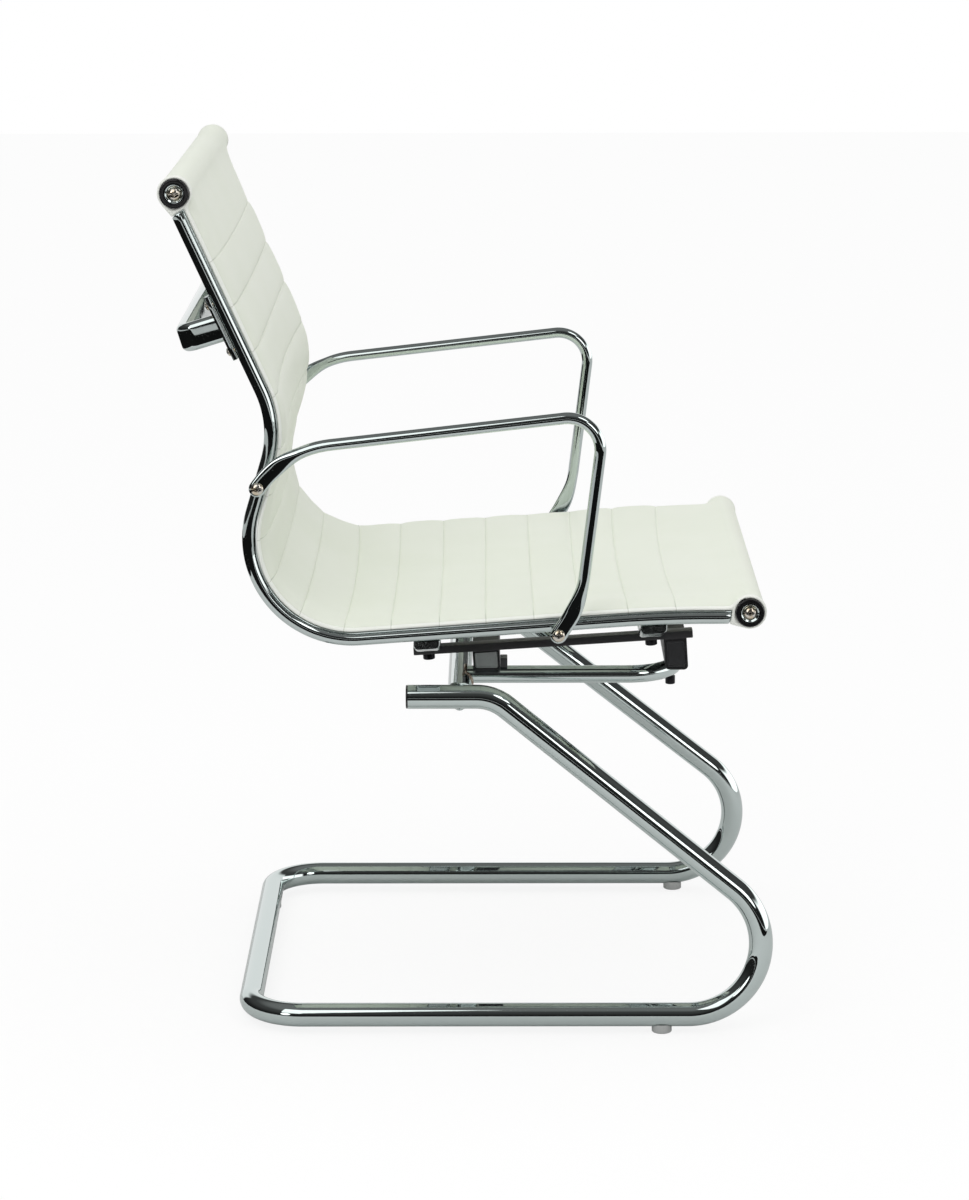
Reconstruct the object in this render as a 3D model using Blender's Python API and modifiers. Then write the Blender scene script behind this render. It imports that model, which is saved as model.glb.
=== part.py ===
"""Cantilever visitor chair with a ribbed sling seat.

Metres. X runs forward, Y to the sitter's left and Z up. The floor is Z = 0
and the origin is under the middle of the chair's outline.
"""

from math import ceil, cos, pi, radians, sin, sqrt, tan, tau

import bmesh
import bpy
from mathutils import Matrix, Vector

# Sides, clearances and fineness
SIDES = (("right", -1), ("left", 1))
GAP = 0.0003
ARC_STEP = radians(12)
FINE_STEP = radians(6)
LONGEST_CHORD = 0.025
SHARP_ANGLE = radians(35)
MERGE = 1e-6
HOLE_MARGIN = 0.001

# Half widths, each from the rails' outer faces or from its neighbour
RAIL_OUTER_Y = 0.260
RAIL_WIDTH = 0.010
RAIL_INNER_Y = RAIL_OUTER_Y - RAIL_WIDTH
SPREADER_INSET = 0.004
SPREADER_LANDING = 0.022
SPREADER_RISE_RUN = 0.034
SPREADER_HALF_LENGTH = RAIL_OUTER_Y - SPREADER_INSET
SPREADER_SHOULDER_Y = SPREADER_HALF_LENGTH - SPREADER_LANDING
SPREADER_FLAT_Y = SPREADER_SHOULDER_Y - SPREADER_RISE_RUN
BAR_INSET = 0.028
BAR_Y = SPREADER_FLAT_Y - BAR_INSET
BEAM_OVERHANG = 0.004
BEAM_HALF_LENGTH = BAR_Y + BEAM_OVERHANG
HOOP_INSET = 0.0205
HOOP_HALF_WIDTH = BEAM_HALF_LENGTH - HOOP_INSET
HOOP_BOLT_INSET = 0.031
HOOP_BOLT_Y = HOOP_HALF_WIDTH - HOOP_BOLT_INSET
CROSS_TUBE_SPARE = 0.0675
TOP_HALF_WIDTH = HOOP_HALF_WIDTH + CROSS_TUBE_SPARE
LEG_LEAN = 0.027
SLED_HALF_WIDTH = TOP_HALF_WIDTH + LEG_LEAN
ARM_STANDOFF = 0.0176
ARM_Y = RAIL_OUTER_Y + ARM_STANDOFF

# Sled frame, one bent tube
TUBE_RADIUS = 0.0125
TUBE_WALL = 0.002
FLOOR_RUN_Z = 0.0185
TOP_RUN_Z = 0.355
TOP_RUN_REAR_X = -0.0697
TOP_BEND_X = 0.0207
TOP_BEND_RADIUS = 0.050
SLANT_ANGLE = radians(38.92)
FRONT_BEND_RADIUS = 0.0755
REAR_BAR_X = -0.2364
REAR_CORNER_RADIUS = 0.057
PLUG_RIM = 0.002
PLUG_DEPTH = 0.014
PLUG_SLACK = 0.0007

# Floor glides
GLIDE_RADIUS = 0.0105
GLIDE_HEIGHT = 0.0095
GLIDE_CHAMFER = 0.0012
GLIDE_PEG_RADIUS = 0.003
GLIDE_PEG_TOP = 0.0105
SLANT_RUN = (TOP_RUN_Z - FLOOR_RUN_Z) / tan(SLANT_ANGLE)
FLOOR_CORNER_X = TOP_BEND_X + SLANT_RUN
FLOOR_RUN_FRONT_X = FLOOR_CORNER_X - FRONT_BEND_RADIUS * tan((pi - SLANT_ANGLE) / 2)
GLIDE_FRONT_BACK = {"right": 0.0270, "left": -0.0072}
GLIDE_REAR_INSET = 0.018
GLIDE_REAR_Y = SLED_HALF_WIDTH - REAR_CORNER_RADIUS - GLIDE_REAR_INSET

# Cross tube and support hoop
CROSS_TUBE_X = -0.014
HOOP_Z = 0.362
HOOP_RADIUS = 0.00925
HOOP_WALL = 0.0015
HOOP_REAR_X = -0.0075
HOOP_FRONT_X = 0.212
HOOP_CORNER_RADIUS = 0.050

# Seat bars and the beams that carry them
BAR_SLOPE = radians(3.68)
BAR_LEVEL_X = 0.013
BAR_LEVEL_Z = 0.393
BAR_REAR_X = -0.062
BAR_FRONT_X = 0.229
BAR_HEIGHT = 0.008
BAR_WIDTH = 0.016
BAR_EDGE = 0.0008
BEAM_WALL = 0.002
BEAM_CORNER = 0.0045
BEAM_PLUG_DEPTH = 0.008
REAR_BEAM_X = 0.013
REAR_BEAM_WIDTH = 0.028
FRONT_BEAM_X = 0.2105
FRONT_BEAM_WIDTH = 0.024
LUG_LENGTH = 0.0075
LUG_WIDTH = 0.018
LUG_HEIGHT = 0.0098

# Spreader strips from rail to rail
SPREADER_X = {"rear": -0.0465, "front": 0.1855}
SPREADER_WIDTH = 0.027
SPREADER_THICKNESS = 0.0085
SPREADER_HOLE_DEPTH = 0.0072
SPREADER_BEND = 0.014
SPREADER_ROUND = 0.0045
SPREADER_TILT_ROOM = 0.0003

# Black bolts
BOLT_SHANK_RADIUS = 0.003
BAR_BOLT_HEAD_RADIUS = 0.00625
BAR_BOLT_HEAD_HEIGHT = 0.006
BAR_BOLT_GRIP = 0.0064
HOOP_BOLT_HEAD_RADIUS = 0.0052
HOOP_BOLT_HEAD_HEIGHT = 0.0085
HOOP_BOLT_REACH = 0.009

# Side rails
RAIL_HEIGHT = 0.014
RAIL_EDGE = 0.001
RAIL_BULGE = 0.0055
RAIL_ARC_STEPS = 6
RAIL_CORNERS = (
    (-0.3004, 0.8779, 0.0),
    (-0.1959, 0.6461, 0.1048),
    (-0.2657, 0.4138, 0.1039),
    (0.1935, 0.4466, 1.330),
    (0.2823, 0.4466, 0.0),
)
RAIL_END_STOP = 0.026
RAIL_TAB_WIDTH = 0.012
RAIL_TAB_ROUND = 0.008
RAIL_TAB_LEAN = radians(75)
RAIL_TAB_STEPS = 8
RAIL_TAB_INSET = 0.0045
RAIL_TAB_THICKNESS = 0.003
RAIL_TAB_OUTER_Y = RAIL_OUTER_Y - RAIL_TAB_INSET
RAIL_TAB_INNER_Y = RAIL_TAB_OUTER_Y - RAIL_TAB_THICKNESS
RAIL_TAB_ROOT = 0.030

# Rolls at the ends of the sling
ROLL_OFFSET = 0.006
ROLL_TUBE_RADIUS = 0.014
ROLL_TUBE_WALL = 0.002
ROLL_END_WALL = 0.006
ROLL_HALF_LENGTH = RAIL_TAB_INNER_Y - GAP
ROLL_ROOM = 0.0007

# End caps
CAP_SEAT_INSET = 0.0002
CAP_SEAT_Y = RAIL_OUTER_Y - CAP_SEAT_INSET
CAP_SPIGOT_RADIUS = 0.0132
CAP_RADIUS = 0.0147
CAP_DEPTH = 0.0042
CAP_ROUND = 0.0012
CAP_RECESS_RADIUS = 0.0102
CAP_FLOOR = 0.0016
WASHER_RADIUS = 0.0098
WASHER_FLAT_RADIUS = 0.0066
WASHER_DEPTH = 0.0029
WASHER_THICKNESS = 0.0008

# Ribbed sling
HEM_INSET = 0.002
HEM_WIDTH = 0.0085
HEM_THICKNESS = 0.0034
HEM_HALF_WIDTH = RAIL_OUTER_Y - HEM_INSET
PANEL_EDGE_Y = HEM_HALF_WIDTH - HEM_WIDTH
PANEL_EDGE_RUN = 0.0185
PANEL_FULL_Y = PANEL_EDGE_Y - PANEL_EDGE_RUN
PANEL_HALF_SHARE = 0.56
RIB_CROWN = 0.0019
RIB_BACK_CROWN = 0.0018
SLING_REST = 0.0006
# Distance down the rail, the panel's lift at its edge, its bow at the middle
SLING_COURSE = (
    (0.0, 0.0050, 0.0),
    (0.038, 0.0050, 0.0050),
    (0.0767, 0.0035, 0.0055),
    (0.126, 0.0030, 0.0035),
    (0.176, 0.0030, 0.0),
    (0.225, 0.0035, -0.0085),
    (0.275, 0.0035, -0.0065),
    (0.325, 0.0040, 0.0),
    (0.374, 0.0040, 0.0065),
    (0.423, 0.0038, 0.0042),
    (0.473, 0.0035, 0.0045),
    (0.522, 0.0040, 0.0),
    (0.572, 0.0053, -0.0033),
    (0.621, 0.0056, -0.0048),
    (0.671, 0.0050, -0.0042),
    (0.720, 0.0045, -0.0037),
    (0.770, 0.0045, -0.0037),
    (0.819, 0.0062, -0.0054),
    (0.869, 0.0069, -0.0059),
    (0.905, 0.0080, -0.0035),
    (0.945, 0.0080, 0.0),
)
LOOP_THICKNESS = 0.0032
LOOP_DIP = 0.0013
LOOP_MIDDLE = LOOP_THICKNESS - LOOP_DIP
LOOP_HALF_WIDTH = CAP_SEAT_Y - GAP
SEAM_FIRST = 0.0767
SEAM_PITCH = 0.0495
SEAM_COUNT = 17
RIB_STATIONS = (0.0, 0.32, 0.68)
LOOP_LEAVE = radians(16)
LOOP_TAIL_START = radians(194.7)
LOOP_TAIL_END = radians(282.1)
LOOP_CLOSE = radians(273.5)
LOOP_STEPS = 8
LOOP_RAMP = (0.0105, 0.0215, 0.040)
TAB_SLOT_ROOM = 0.0005

# Back brace
BRACE_ALONG = 0.1415
BRACE_HEIGHT = 0.029
BRACE_THICKNESS = 0.014
BRACE_RISE = radians(7)
BRACE_REACH = 0.0475
BRACE_INSET = 0.001
BRACE_OUTER_Y = RAIL_OUTER_Y - BRACE_INSET
BRACE_OUTER_CORNER = 0.018
BRACE_INNER_CORNER = 0.006
BRACE_ROUND = 0.0035
FLANGE_LENGTH = 0.070
FLANGE_THICKNESS = 0.005
FLANGE_INSET = 0.0005
FLANGE_INNER_Y = RAIL_INNER_Y + FLANGE_INSET
FLANGE_OUTER_Y = RAIL_OUTER_Y - FLANGE_INSET
FLANGE_ROOT = 0.002
BRACE_SCREW_GRIP = 0.0084
BRACE_HOLE_DEPTH = 0.0098
BRACE_SCREW_PITCH = 0.0505
BRACE_SCREW_SHANK_RADIUS = 0.002
BRACE_SCREW_HEAD_RADIUS = 0.0044
BRACE_SCREW_HEAD_HEIGHT = 0.0026

# Armrests
ARM_ROD = 0.012
ARM_CORNERS = (
    (-0.2161, 0.5854, 0.0),
    (-0.1885, 0.6248, 0.105),
    (0.1336, 0.6613, 0.033),
    (0.1103, 0.4690, 0.120),
    (0.08735, 0.4334, 0.0),
)
ARM_LEAF_WIDTH = 0.0172
ARM_LEAF_THICKNESS = 0.006
ARM_LEAF_LENGTH = 0.026
ARM_LEAF_FADE = 0.062
ARM_LEAF_PIECE = 0.010
ARM_TIP_ANGLES = (25, 50, 70, 86)
ARM_SECTION_SIDES = 10
ARM_SECTION_SQUARENESS = 0.4
ARM_SPACER_RADIUS = 0.007
ARM_PADS = {"rear": ARM_CORNERS[0][:2], "front": ARM_CORNERS[-1][:2]}

# Dome screws of the armrests and end caps
SCREW_SHANK_RADIUS = 0.0025
SCREW_HEAD_RADIUS = 0.0064
SCREW_HEAD_HEIGHT = 0.0034
SCREW_SOCKET_RADIUS = 0.0018
SCREW_SOCKET_DEPTH = 0.0016
SCREW_DOME_ANGLES = (35, 65)
BRACE_DOME_ANGLES = (45, 90)
SCREW_GRIP = 0.007
SCREW_TIP = 0.002


def fresh_scene():
    """Clears the scene and returns the chair's and the guides' collections."""
    for old in list(bpy.data.objects):
        bpy.data.objects.remove(old)
    made = []
    for name in ("cantilever_chair", "cutting_guides"):
        collection = bpy.data.collections.new(name)
        bpy.context.scene.collection.children.link(collection)
        made.append(collection)
    return made


chair, guides = fresh_scene()


def finish(name, colour, roughness, metallic):
    """A plain surface material."""
    made = bpy.data.materials.new(name)
    made.use_nodes = True
    shader = made.node_tree.nodes["Principled BSDF"]
    shader.inputs["Base Color"].default_value = (*colour, 1.0)
    shader.inputs["Roughness"].default_value = roughness
    shader.inputs["Metallic"].default_value = metallic
    return made


CHROME = finish("chrome", (0.78, 0.79, 0.80), 0.08, 1.0)
POLISHED_ALLOY = finish("polished_alloy", (0.74, 0.75, 0.76), 0.12, 1.0)
BLACK_PAINT = finish("black_paint", (0.02, 0.02, 0.025), 0.45, 0.0)
BLACK_STEEL = finish("black_steel", (0.02, 0.02, 0.022), 0.40, 0.6)
BLACK_PLASTIC = finish("black_plastic", (0.015, 0.015, 0.017), 0.35, 0.0)
GREY_PLASTIC = finish("grey_plastic", (0.16, 0.16, 0.17), 0.55, 0.0)
STEEL = finish("steel", (0.50, 0.50, 0.50), 0.35, 1.0)
LEATHERETTE = finish("leatherette", (0.80, 0.82, 0.76), 0.45, 0.0)
GLIDE_PLASTIC = finish("glide_plastic", (0.60, 0.61, 0.60), 0.30, 0.0)


def add_object(name, bm, collection):
    """Puts a mesh in the scene with its faces turned outwards."""
    bmesh.ops.remove_doubles(bm, verts=bm.verts, dist=MERGE)
    bmesh.ops.recalc_face_normals(bm, faces=bm.faces)
    mesh = bpy.data.meshes.new(name)
    bm.to_mesh(mesh)
    bm.free()
    made = bpy.data.objects.new(name, mesh)
    collection.objects.link(made)
    return made


def piece(name, bm, material):
    """Adds one named piece of the chair."""
    made = add_object(name, bm, chair)
    made.data.materials.append(material)
    made.data.shade_smooth()
    made.data.set_sharp_from_angle(angle=SHARP_ANGLE)
    return made


def combine(target, bm, name, operation):
    """Joins a guide solid to a piece or takes it away."""
    guide = add_object(target.name + "_" + name, bm, guides)
    guide.hide_render = True
    guide.display_type = "WIRE"
    change = target.modifiers.new(name, "BOOLEAN")
    change.operation = operation
    change.solver = "EXACT"
    change.object = guide


def add_cylinder(bm, start, end, radius, sides):
    """Adds a cylinder from one point to another."""
    start = Vector(start)
    end = Vector(end)
    turn = (end - start).to_track_quat("Z", "X").to_matrix().to_4x4()
    bmesh.ops.create_cone(
        bm,
        cap_ends=True,
        segments=sides,
        radius1=radius,
        radius2=radius,
        depth=(end - start).length,
        matrix=Matrix.Translation((start + end) / 2) @ turn,
    )


def pour(bm, part):
    """Empties one mesh in the making into another."""
    copy = bpy.data.meshes.new("copy")
    part.to_mesh(copy)
    part.free()
    bm.from_mesh(copy)
    bpy.data.meshes.remove(copy)


def bore(target, holes, name="holes", sides=12):
    """Takes (start, end, radius) cylinders out of a piece."""
    bm = bmesh.new()
    for start, end, radius in holes:
        add_cylinder(bm, start, end, radius, sides)
    combine(target, bm, name, "DIFFERENCE")


def corner_arc(before, corner, after, radius, step):
    """Points of the arc that rounds one corner of a path."""
    back = (before - corner).normalized()
    ahead = (after - corner).normalized()
    half_turn = (pi - back.angle(ahead)) / 2
    reach = radius * tan(half_turn)
    centre = corner + (back + ahead).normalized() * (radius / cos(half_turn))
    start = corner + back * reach - centre
    end = corner + ahead * reach - centre
    count = ceil(2 * half_turn * max(1 / step, radius / LONGEST_CHORD))
    axis = start.cross(end)
    turns = [2 * half_turn * i / count for i in range(count + 1)]
    return [centre + Matrix.Rotation(turn, 3, axis) @ start for turn in turns]


def rounded(corners, step=ARC_STEP, closed=False):
    """A path of (point, radius) corners with each radius worked in."""
    count = len(corners)
    points = []
    for i, (corner, radius) in enumerate(corners):
        open_end = not closed and i in (0, count - 1)
        if open_end or radius == 0:
            points.append(Vector(corner))
            continue
        before = Vector(corners[i - 1][0])
        after = Vector(corners[(i + 1) % count][0])
        points += corner_arc(before, Vector(corner), after, radius, step)
    return points


def upright(corners, step=FINE_STEP):
    """A path of (x, z, radius) corners in the XZ plane."""
    return rounded([((x, 0, z), radius) for x, z, radius in corners], step)


def directions(points):
    """The unit direction of travel at each point of a path."""
    found = []
    for i, point in enumerate(points):
        total = Vector()
        if i > 0:
            total += (point - points[i - 1]).normalized()
        if i < len(points) - 1:
            total += (points[i + 1] - point).normalized()
        found.append(total.normalized())
    return found


def left_of(direction):
    """The unit vector square to a direction in the XZ plane, sitter side."""
    return Vector((-direction.z, 0, direction.x))


def cut_short(points, distance):
    """A path without its first and last stretches of a given length."""
    for _ in range(2):
        points = points[::-1]
        room = distance
        while (points[-1] - points[-2]).length < room:
            room -= (points[-1] - points[-2]).length
            points = points[:-1]
        way = (points[-2] - points[-1]).normalized()
        points = points[:-1] + [points[-1] + way * room]
    return points


def lofted(rings):
    """A closed skin over rings of points."""
    bm = bmesh.new()
    loops = [[bm.verts.new(point) for point in ring] for ring in rings]
    for first, second in zip(loops, loops[1:]):
        for i in range(len(first)):
            j = (i + 1) % len(first)
            bm.faces.new((first[i], first[j], second[j], second[i]))
    bm.faces.new(loops[0])
    bm.faces.new(loops[-1])
    return bm


def slab(outline, travel):
    """A flat outline of points moved along a vector."""
    moved = [point + travel for point in outline]
    return lofted([outline, moved])


def cross_slab(outline, side, inner_y, outer_y):
    """A slab of an XZ outline between two distances from the middle."""
    placed = [Vector((point.x, side * inner_y, point.z)) for point in outline]
    return slab(placed, Vector((0, side * (outer_y - inner_y), 0)))


def turned(profile, seat, direction, steps, ring=False):
    """A profile of (radius, height) turned about an axis through a seat."""
    bm = bmesh.new()
    verts = [bm.verts.new((radius, 0, height)) for radius, height in profile]
    pairs = list(zip(verts, verts[1:]))
    if ring:
        pairs.append((verts[-1], verts[0]))
    edges = [bm.edges.new(pair) for pair in pairs]
    bmesh.ops.spin(
        bm,
        geom=verts + edges,
        cent=(0, 0, 0),
        axis=(0, 0, 1),
        angle=tau,
        steps=steps,
        use_merge=True,
    )
    bmesh.ops.remove_doubles(bm, verts=bm.verts, dist=MERGE)
    turn = Vector(direction).to_track_quat("Z", "X").to_matrix().to_4x4()
    bmesh.ops.transform(bm, matrix=Matrix.Translation(seat) @ turn, verts=bm.verts)
    return bm


def tube(name, path, radius, wall, resolution):
    """A hollow tube: a bevelled curve thickened inwards."""
    curve = bpy.data.curves.new(name + "_path", "CURVE")
    curve.dimensions = "3D"
    curve.bevel_depth = radius
    curve.bevel_resolution = resolution
    spline = curve.splines.new("POLY")
    spline.points.add(len(path) - 1)
    for spot, point in zip(spline.points, path):
        spot.co = (*point, 1)
    guide = bpy.data.objects.new(name + "_path", curve)
    guides.objects.link(guide)
    scene_state = bpy.context.evaluated_depsgraph_get()
    skin = bpy.data.meshes.new_from_object(guide.evaluated_get(scene_state))
    bpy.data.objects.remove(guide)
    bm = bmesh.new()
    bm.from_mesh(skin)
    made = piece(name, bm, CHROME)
    thicken = made.modifiers.new("wall", "SOLIDIFY")
    thicken.thickness = wall
    thicken.offset = -1
    return made


# Paths that several pieces share
RAIL_PATH = upright(RAIL_CORNERS)
RAIL_FINE = upright(RAIL_CORNERS, radians(0.5))
ARM_PATH = upright(ARM_CORNERS, radians(10))


def rail_frame(distance):
    """Point, direction and sitter-side normal at a distance down the rail."""
    left = distance
    for first, second in zip(RAIL_FINE, RAIL_FINE[1:]):
        span = (second - first).length
        if left <= span:
            break
        left -= span
    way = (second - first).normalized()
    return first + way * left, way, left_of(way)


def rail_length():
    """The whole length of the rail's centreline."""
    return sum((b - a).length for a, b in zip(RAIL_FINE, RAIL_FINE[1:]))


def rail_z(x):
    """The height of the rail's centreline over a seat position."""
    lowest = min(range(len(RAIL_FINE)), key=lambda i: RAIL_FINE[i].z)
    seat = RAIL_FINE[lowest:]
    for first, second in zip(seat, seat[1:]):
        if first.x <= x <= second.x:
            part = (x - first.x) / (second.x - first.x)
            return first.z + part * (second.z - first.z)
    return seat[-1].z


# Frame directions of the back's straight run and of the seat bars
BACK_POINT, BACK_DOWN, BACK_NORMAL = rail_frame(BRACE_ALONG)
BAR_WAY = Vector((cos(BAR_SLOPE), 0, sin(BAR_SLOPE)))
BAR_UP = left_of(BAR_WAY)


def bar_line(x, lift=0.0):
    """A point on the seat bars' underside, or that far above it."""
    rise = (x - BAR_LEVEL_X) * tan(BAR_SLOPE)
    return Vector((x, 0, BAR_LEVEL_Z + rise)) + BAR_UP * lift


def dome_screw(name, seat, direction, reach):
    """A dome-head screw: its head on the seat, its shank the other way."""
    socket_floor = SCREW_HEAD_HEIGHT - SCREW_SOCKET_DEPTH
    profile = [
        (0, socket_floor),
        (SCREW_SOCKET_RADIUS, socket_floor),
        (SCREW_SOCKET_RADIUS, SCREW_HEAD_HEIGHT),
    ]
    for angle in SCREW_DOME_ANGLES:
        lean = radians(angle)
        profile.append((SCREW_HEAD_RADIUS * sin(lean), SCREW_HEAD_HEIGHT * cos(lean)))
    profile += [
        (SCREW_HEAD_RADIUS, 0),
        (SCREW_SHANK_RADIUS, 0),
        (SCREW_SHANK_RADIUS, -reach),
        (0, -reach),
    ]
    piece(name, turned(profile, seat, direction, 10), STEEL)


def flat_bolt(name, seat, direction, head_radius, head_height, reach):
    """A black bolt with a chamfered cylindrical head."""
    chamfer = head_height / 6
    profile = [
        (0, head_height),
        (head_radius - chamfer, head_height),
        (head_radius, head_height - chamfer),
        (head_radius, 0),
        (BOLT_SHANK_RADIUS, 0),
        (BOLT_SHANK_RADIUS, -reach),
        (0, -reach),
    ]
    piece(name, turned(profile, seat, direction, 12), BLACK_STEEL)


def build_sled():
    """The one bent tube with holes for the glides' pegs."""
    near = [
        ((TOP_RUN_REAR_X + PLUG_RIM + GAP, -TOP_HALF_WIDTH, TOP_RUN_Z), 0),
        ((TOP_BEND_X, -TOP_HALF_WIDTH, TOP_RUN_Z), TOP_BEND_RADIUS),
        ((FLOOR_CORNER_X, -SLED_HALF_WIDTH, FLOOR_RUN_Z), FRONT_BEND_RADIUS),
        ((REAR_BAR_X, -SLED_HALF_WIDTH, FLOOR_RUN_Z), REAR_CORNER_RADIUS),
    ]
    far = [((x, -y, z), radius) for (x, y, z), radius in reversed(near)]
    sled = tube("sled_frame", rounded(near + far), TUBE_RADIUS, TUBE_WALL, 4)
    holes = []
    for _, (x, y) in glide_places():
        foot = Vector((x, y, 0))
        top = Vector((x, y, FLOOR_RUN_Z))
        holes.append((foot, top, GLIDE_PEG_RADIUS + GAP))
    bore(sled, holes, sides=10)


def glide_places():
    """The name and place of each floor glide."""
    places = []
    for side_name, side in SIDES:
        front = (FLOOR_RUN_FRONT_X - GLIDE_FRONT_BACK[side_name], side * SLED_HALF_WIDTH)
        rear = (REAR_BAR_X, side * GLIDE_REAR_Y)
        places.append(("glide_front_" + side_name, front))
        places.append(("glide_rear_" + side_name, rear))
    return places


def build_glides():
    """Plastic feet: a disc with a saddle for the tube and a peg into it."""
    for name, (x, y) in glide_places():
        profile = [
            (0, GLIDE_PEG_TOP),
            (GLIDE_PEG_RADIUS, GLIDE_PEG_TOP),
            (GLIDE_PEG_RADIUS, GLIDE_HEIGHT / 2),
            (0, GLIDE_HEIGHT / 2),
        ]
        glide = piece(name, turned([
            (0, GLIDE_HEIGHT),
            (GLIDE_RADIUS, GLIDE_HEIGHT),
            (GLIDE_RADIUS, GLIDE_CHAMFER),
            (GLIDE_RADIUS - GLIDE_CHAMFER, 0),
            (0, 0),
        ], (x, y, 0), (0, 0, 1), 16), GLIDE_PLASTIC)
        run = Vector((GLIDE_RADIUS * 2, 0, 0))
        if name.startswith("glide_rear"):
            run = Vector((0, GLIDE_RADIUS * 2, 0))
        axis = Vector((x, y, FLOOR_RUN_Z))
        bore(glide, [(axis - run, axis + run, TUBE_RADIUS + GAP)], "saddle", 28)
        combine(glide, turned(profile, (x, y, 0), (0, 0, 1), 10), "peg", "UNION")


def build_tube_plugs():
    """Black plugs in the open rear ends of the top runs."""
    bore_radius = TUBE_RADIUS - TUBE_WALL - PLUG_SLACK
    profile = [
        (0, PLUG_RIM),
        (TUBE_RADIUS - PLUG_RIM / 2, PLUG_RIM),
        (TUBE_RADIUS, PLUG_RIM / 2),
        (TUBE_RADIUS, 0),
        (bore_radius, 0),
        (bore_radius, -PLUG_DEPTH),
        (0, -PLUG_DEPTH),
    ]
    for side_name, side in SIDES:
        seat = (TOP_RUN_REAR_X + PLUG_RIM, side * TOP_HALF_WIDTH, TOP_RUN_Z)
        bm = turned(profile, seat, (-1, 0, 0), 14)
        piece("tube_plug_" + side_name, bm, BLACK_PLASTIC)


def build_cross_tube():
    """The tube between the top runs, its ends shaped to fit them."""
    reach = TOP_HALF_WIDTH - GAP
    ends = [Vector((CROSS_TUBE_X, side * reach, TOP_RUN_Z)) for _, side in SIDES]
    made = tube("cross_tube", ends, TUBE_RADIUS, TUBE_WALL, 4)
    run = Vector((TUBE_RADIUS * 2, 0, 0))
    holes = []
    for _, side in SIDES:
        centre = Vector((CROSS_TUBE_X, side * TOP_HALF_WIDTH, TOP_RUN_Z))
        holes.append((centre - run, centre + run, TUBE_RADIUS + GAP))
    bore(made, holes, "fitted_ends", 28)


def hoop_bolt_places():
    """Where the bolts come up through the hoop's front corners."""
    corner_y = HOOP_HALF_WIDTH - HOOP_CORNER_RADIUS
    out = HOOP_BOLT_Y - corner_y
    x = HOOP_FRONT_X - HOOP_CORNER_RADIUS + sqrt(HOOP_CORNER_RADIUS**2 - out**2)
    return [(side_name, x, side * HOOP_BOLT_Y) for side_name, side in SIDES]


def build_hoop():
    """The U-bent tube under the seat, its ends shaped to the cross tube."""
    ends = [((HOOP_REAR_X, side * HOOP_HALF_WIDTH, HOOP_Z), 0) for _, side in SIDES]
    front = [
        ((HOOP_FRONT_X, side * HOOP_HALF_WIDTH, HOOP_Z), HOOP_CORNER_RADIUS)
        for _, side in SIDES
    ]
    path = rounded([ends[0], front[0], front[1], ends[1]])
    made = tube("support_hoop", path, HOOP_RADIUS, HOOP_WALL, 3)
    span = Vector((0, HOOP_HALF_WIDTH + HOOP_RADIUS * 2, 0))
    axis = Vector((CROSS_TUBE_X, 0, TOP_RUN_Z))
    bore(made, [(axis - span, axis + span, TUBE_RADIUS + GAP)], "fitted_ends", 28)
    holes = []
    for _, x, y in hoop_bolt_places():
        low = Vector((x, y, HOOP_Z - HOOP_RADIUS * 2))
        high = Vector((x, y, HOOP_Z + HOOP_RADIUS * 2))
        holes.append((low, high, BOLT_SHANK_RADIUS + GAP))
    bore(made, holes, sides=10)


def beam_outline(x, width, inset):
    """A beam's section: square to the seat bars, level where it rests."""
    top = bar_line(x, -GAP - inset)
    half = BAR_WAY * (width / 2 - inset)
    base = HOOP_Z + HOOP_RADIUS + GAP + inset
    corners = []
    for edge in (top - half, top + half):
        corners.append((edge, 0))
    for edge in (top + half, top - half):
        drop = (edge.z - base) / BAR_UP.z
        corners.append((edge - BAR_UP * drop, BEAM_CORNER - inset))
    return rounded(corners, radians(45), closed=True)


def build_beam(name, x, width):
    """A box-section beam across the hoop, with a plug in each end."""
    length = BEAM_HALF_LENGTH
    bar = cross_slab(beam_outline(x, width, 0), 1, -length, length)
    beam = piece(name + "_beam", bar, BLACK_PAINT)
    inside = beam_outline(x, width, BEAM_WALL)
    reach = length + HOLE_MARGIN
    combine(beam, cross_slab(inside, 1, -reach, reach), "inside", "DIFFERENCE")
    plug = beam_outline(x, width, BEAM_WALL + GAP)
    for side_name, side in SIDES:
        bm = cross_slab(plug, side, length - BEAM_PLUG_DEPTH, length)
        piece("beam_plug_" + name + "_" + side_name, bm, GREY_PLASTIC)
    return beam


def build_beams():
    """Both beams; the front one takes the hoop's bolts."""
    build_beam("rear", REAR_BEAM_X, REAR_BEAM_WIDTH)
    front = build_beam("front", FRONT_BEAM_X, FRONT_BEAM_WIDTH)
    holes = []
    for side_name, x, y in hoop_bolt_places():
        seat = Vector((x, y, HOOP_Z - HOOP_RADIUS - GAP))
        tip = HOOP_Z + HOOP_RADIUS + HOOP_BOLT_REACH
        reach = tip - seat.z
        flat_bolt(
            "hoop_bolt_" + side_name,
            seat,
            (0, 0, -1),
            HOOP_BOLT_HEAD_RADIUS,
            HOOP_BOLT_HEAD_HEIGHT,
            reach,
        )
        holes.append((seat, Vector((x, y, tip)), BOLT_SHANK_RADIUS + GAP))
    bore(front, holes, sides=10)


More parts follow.
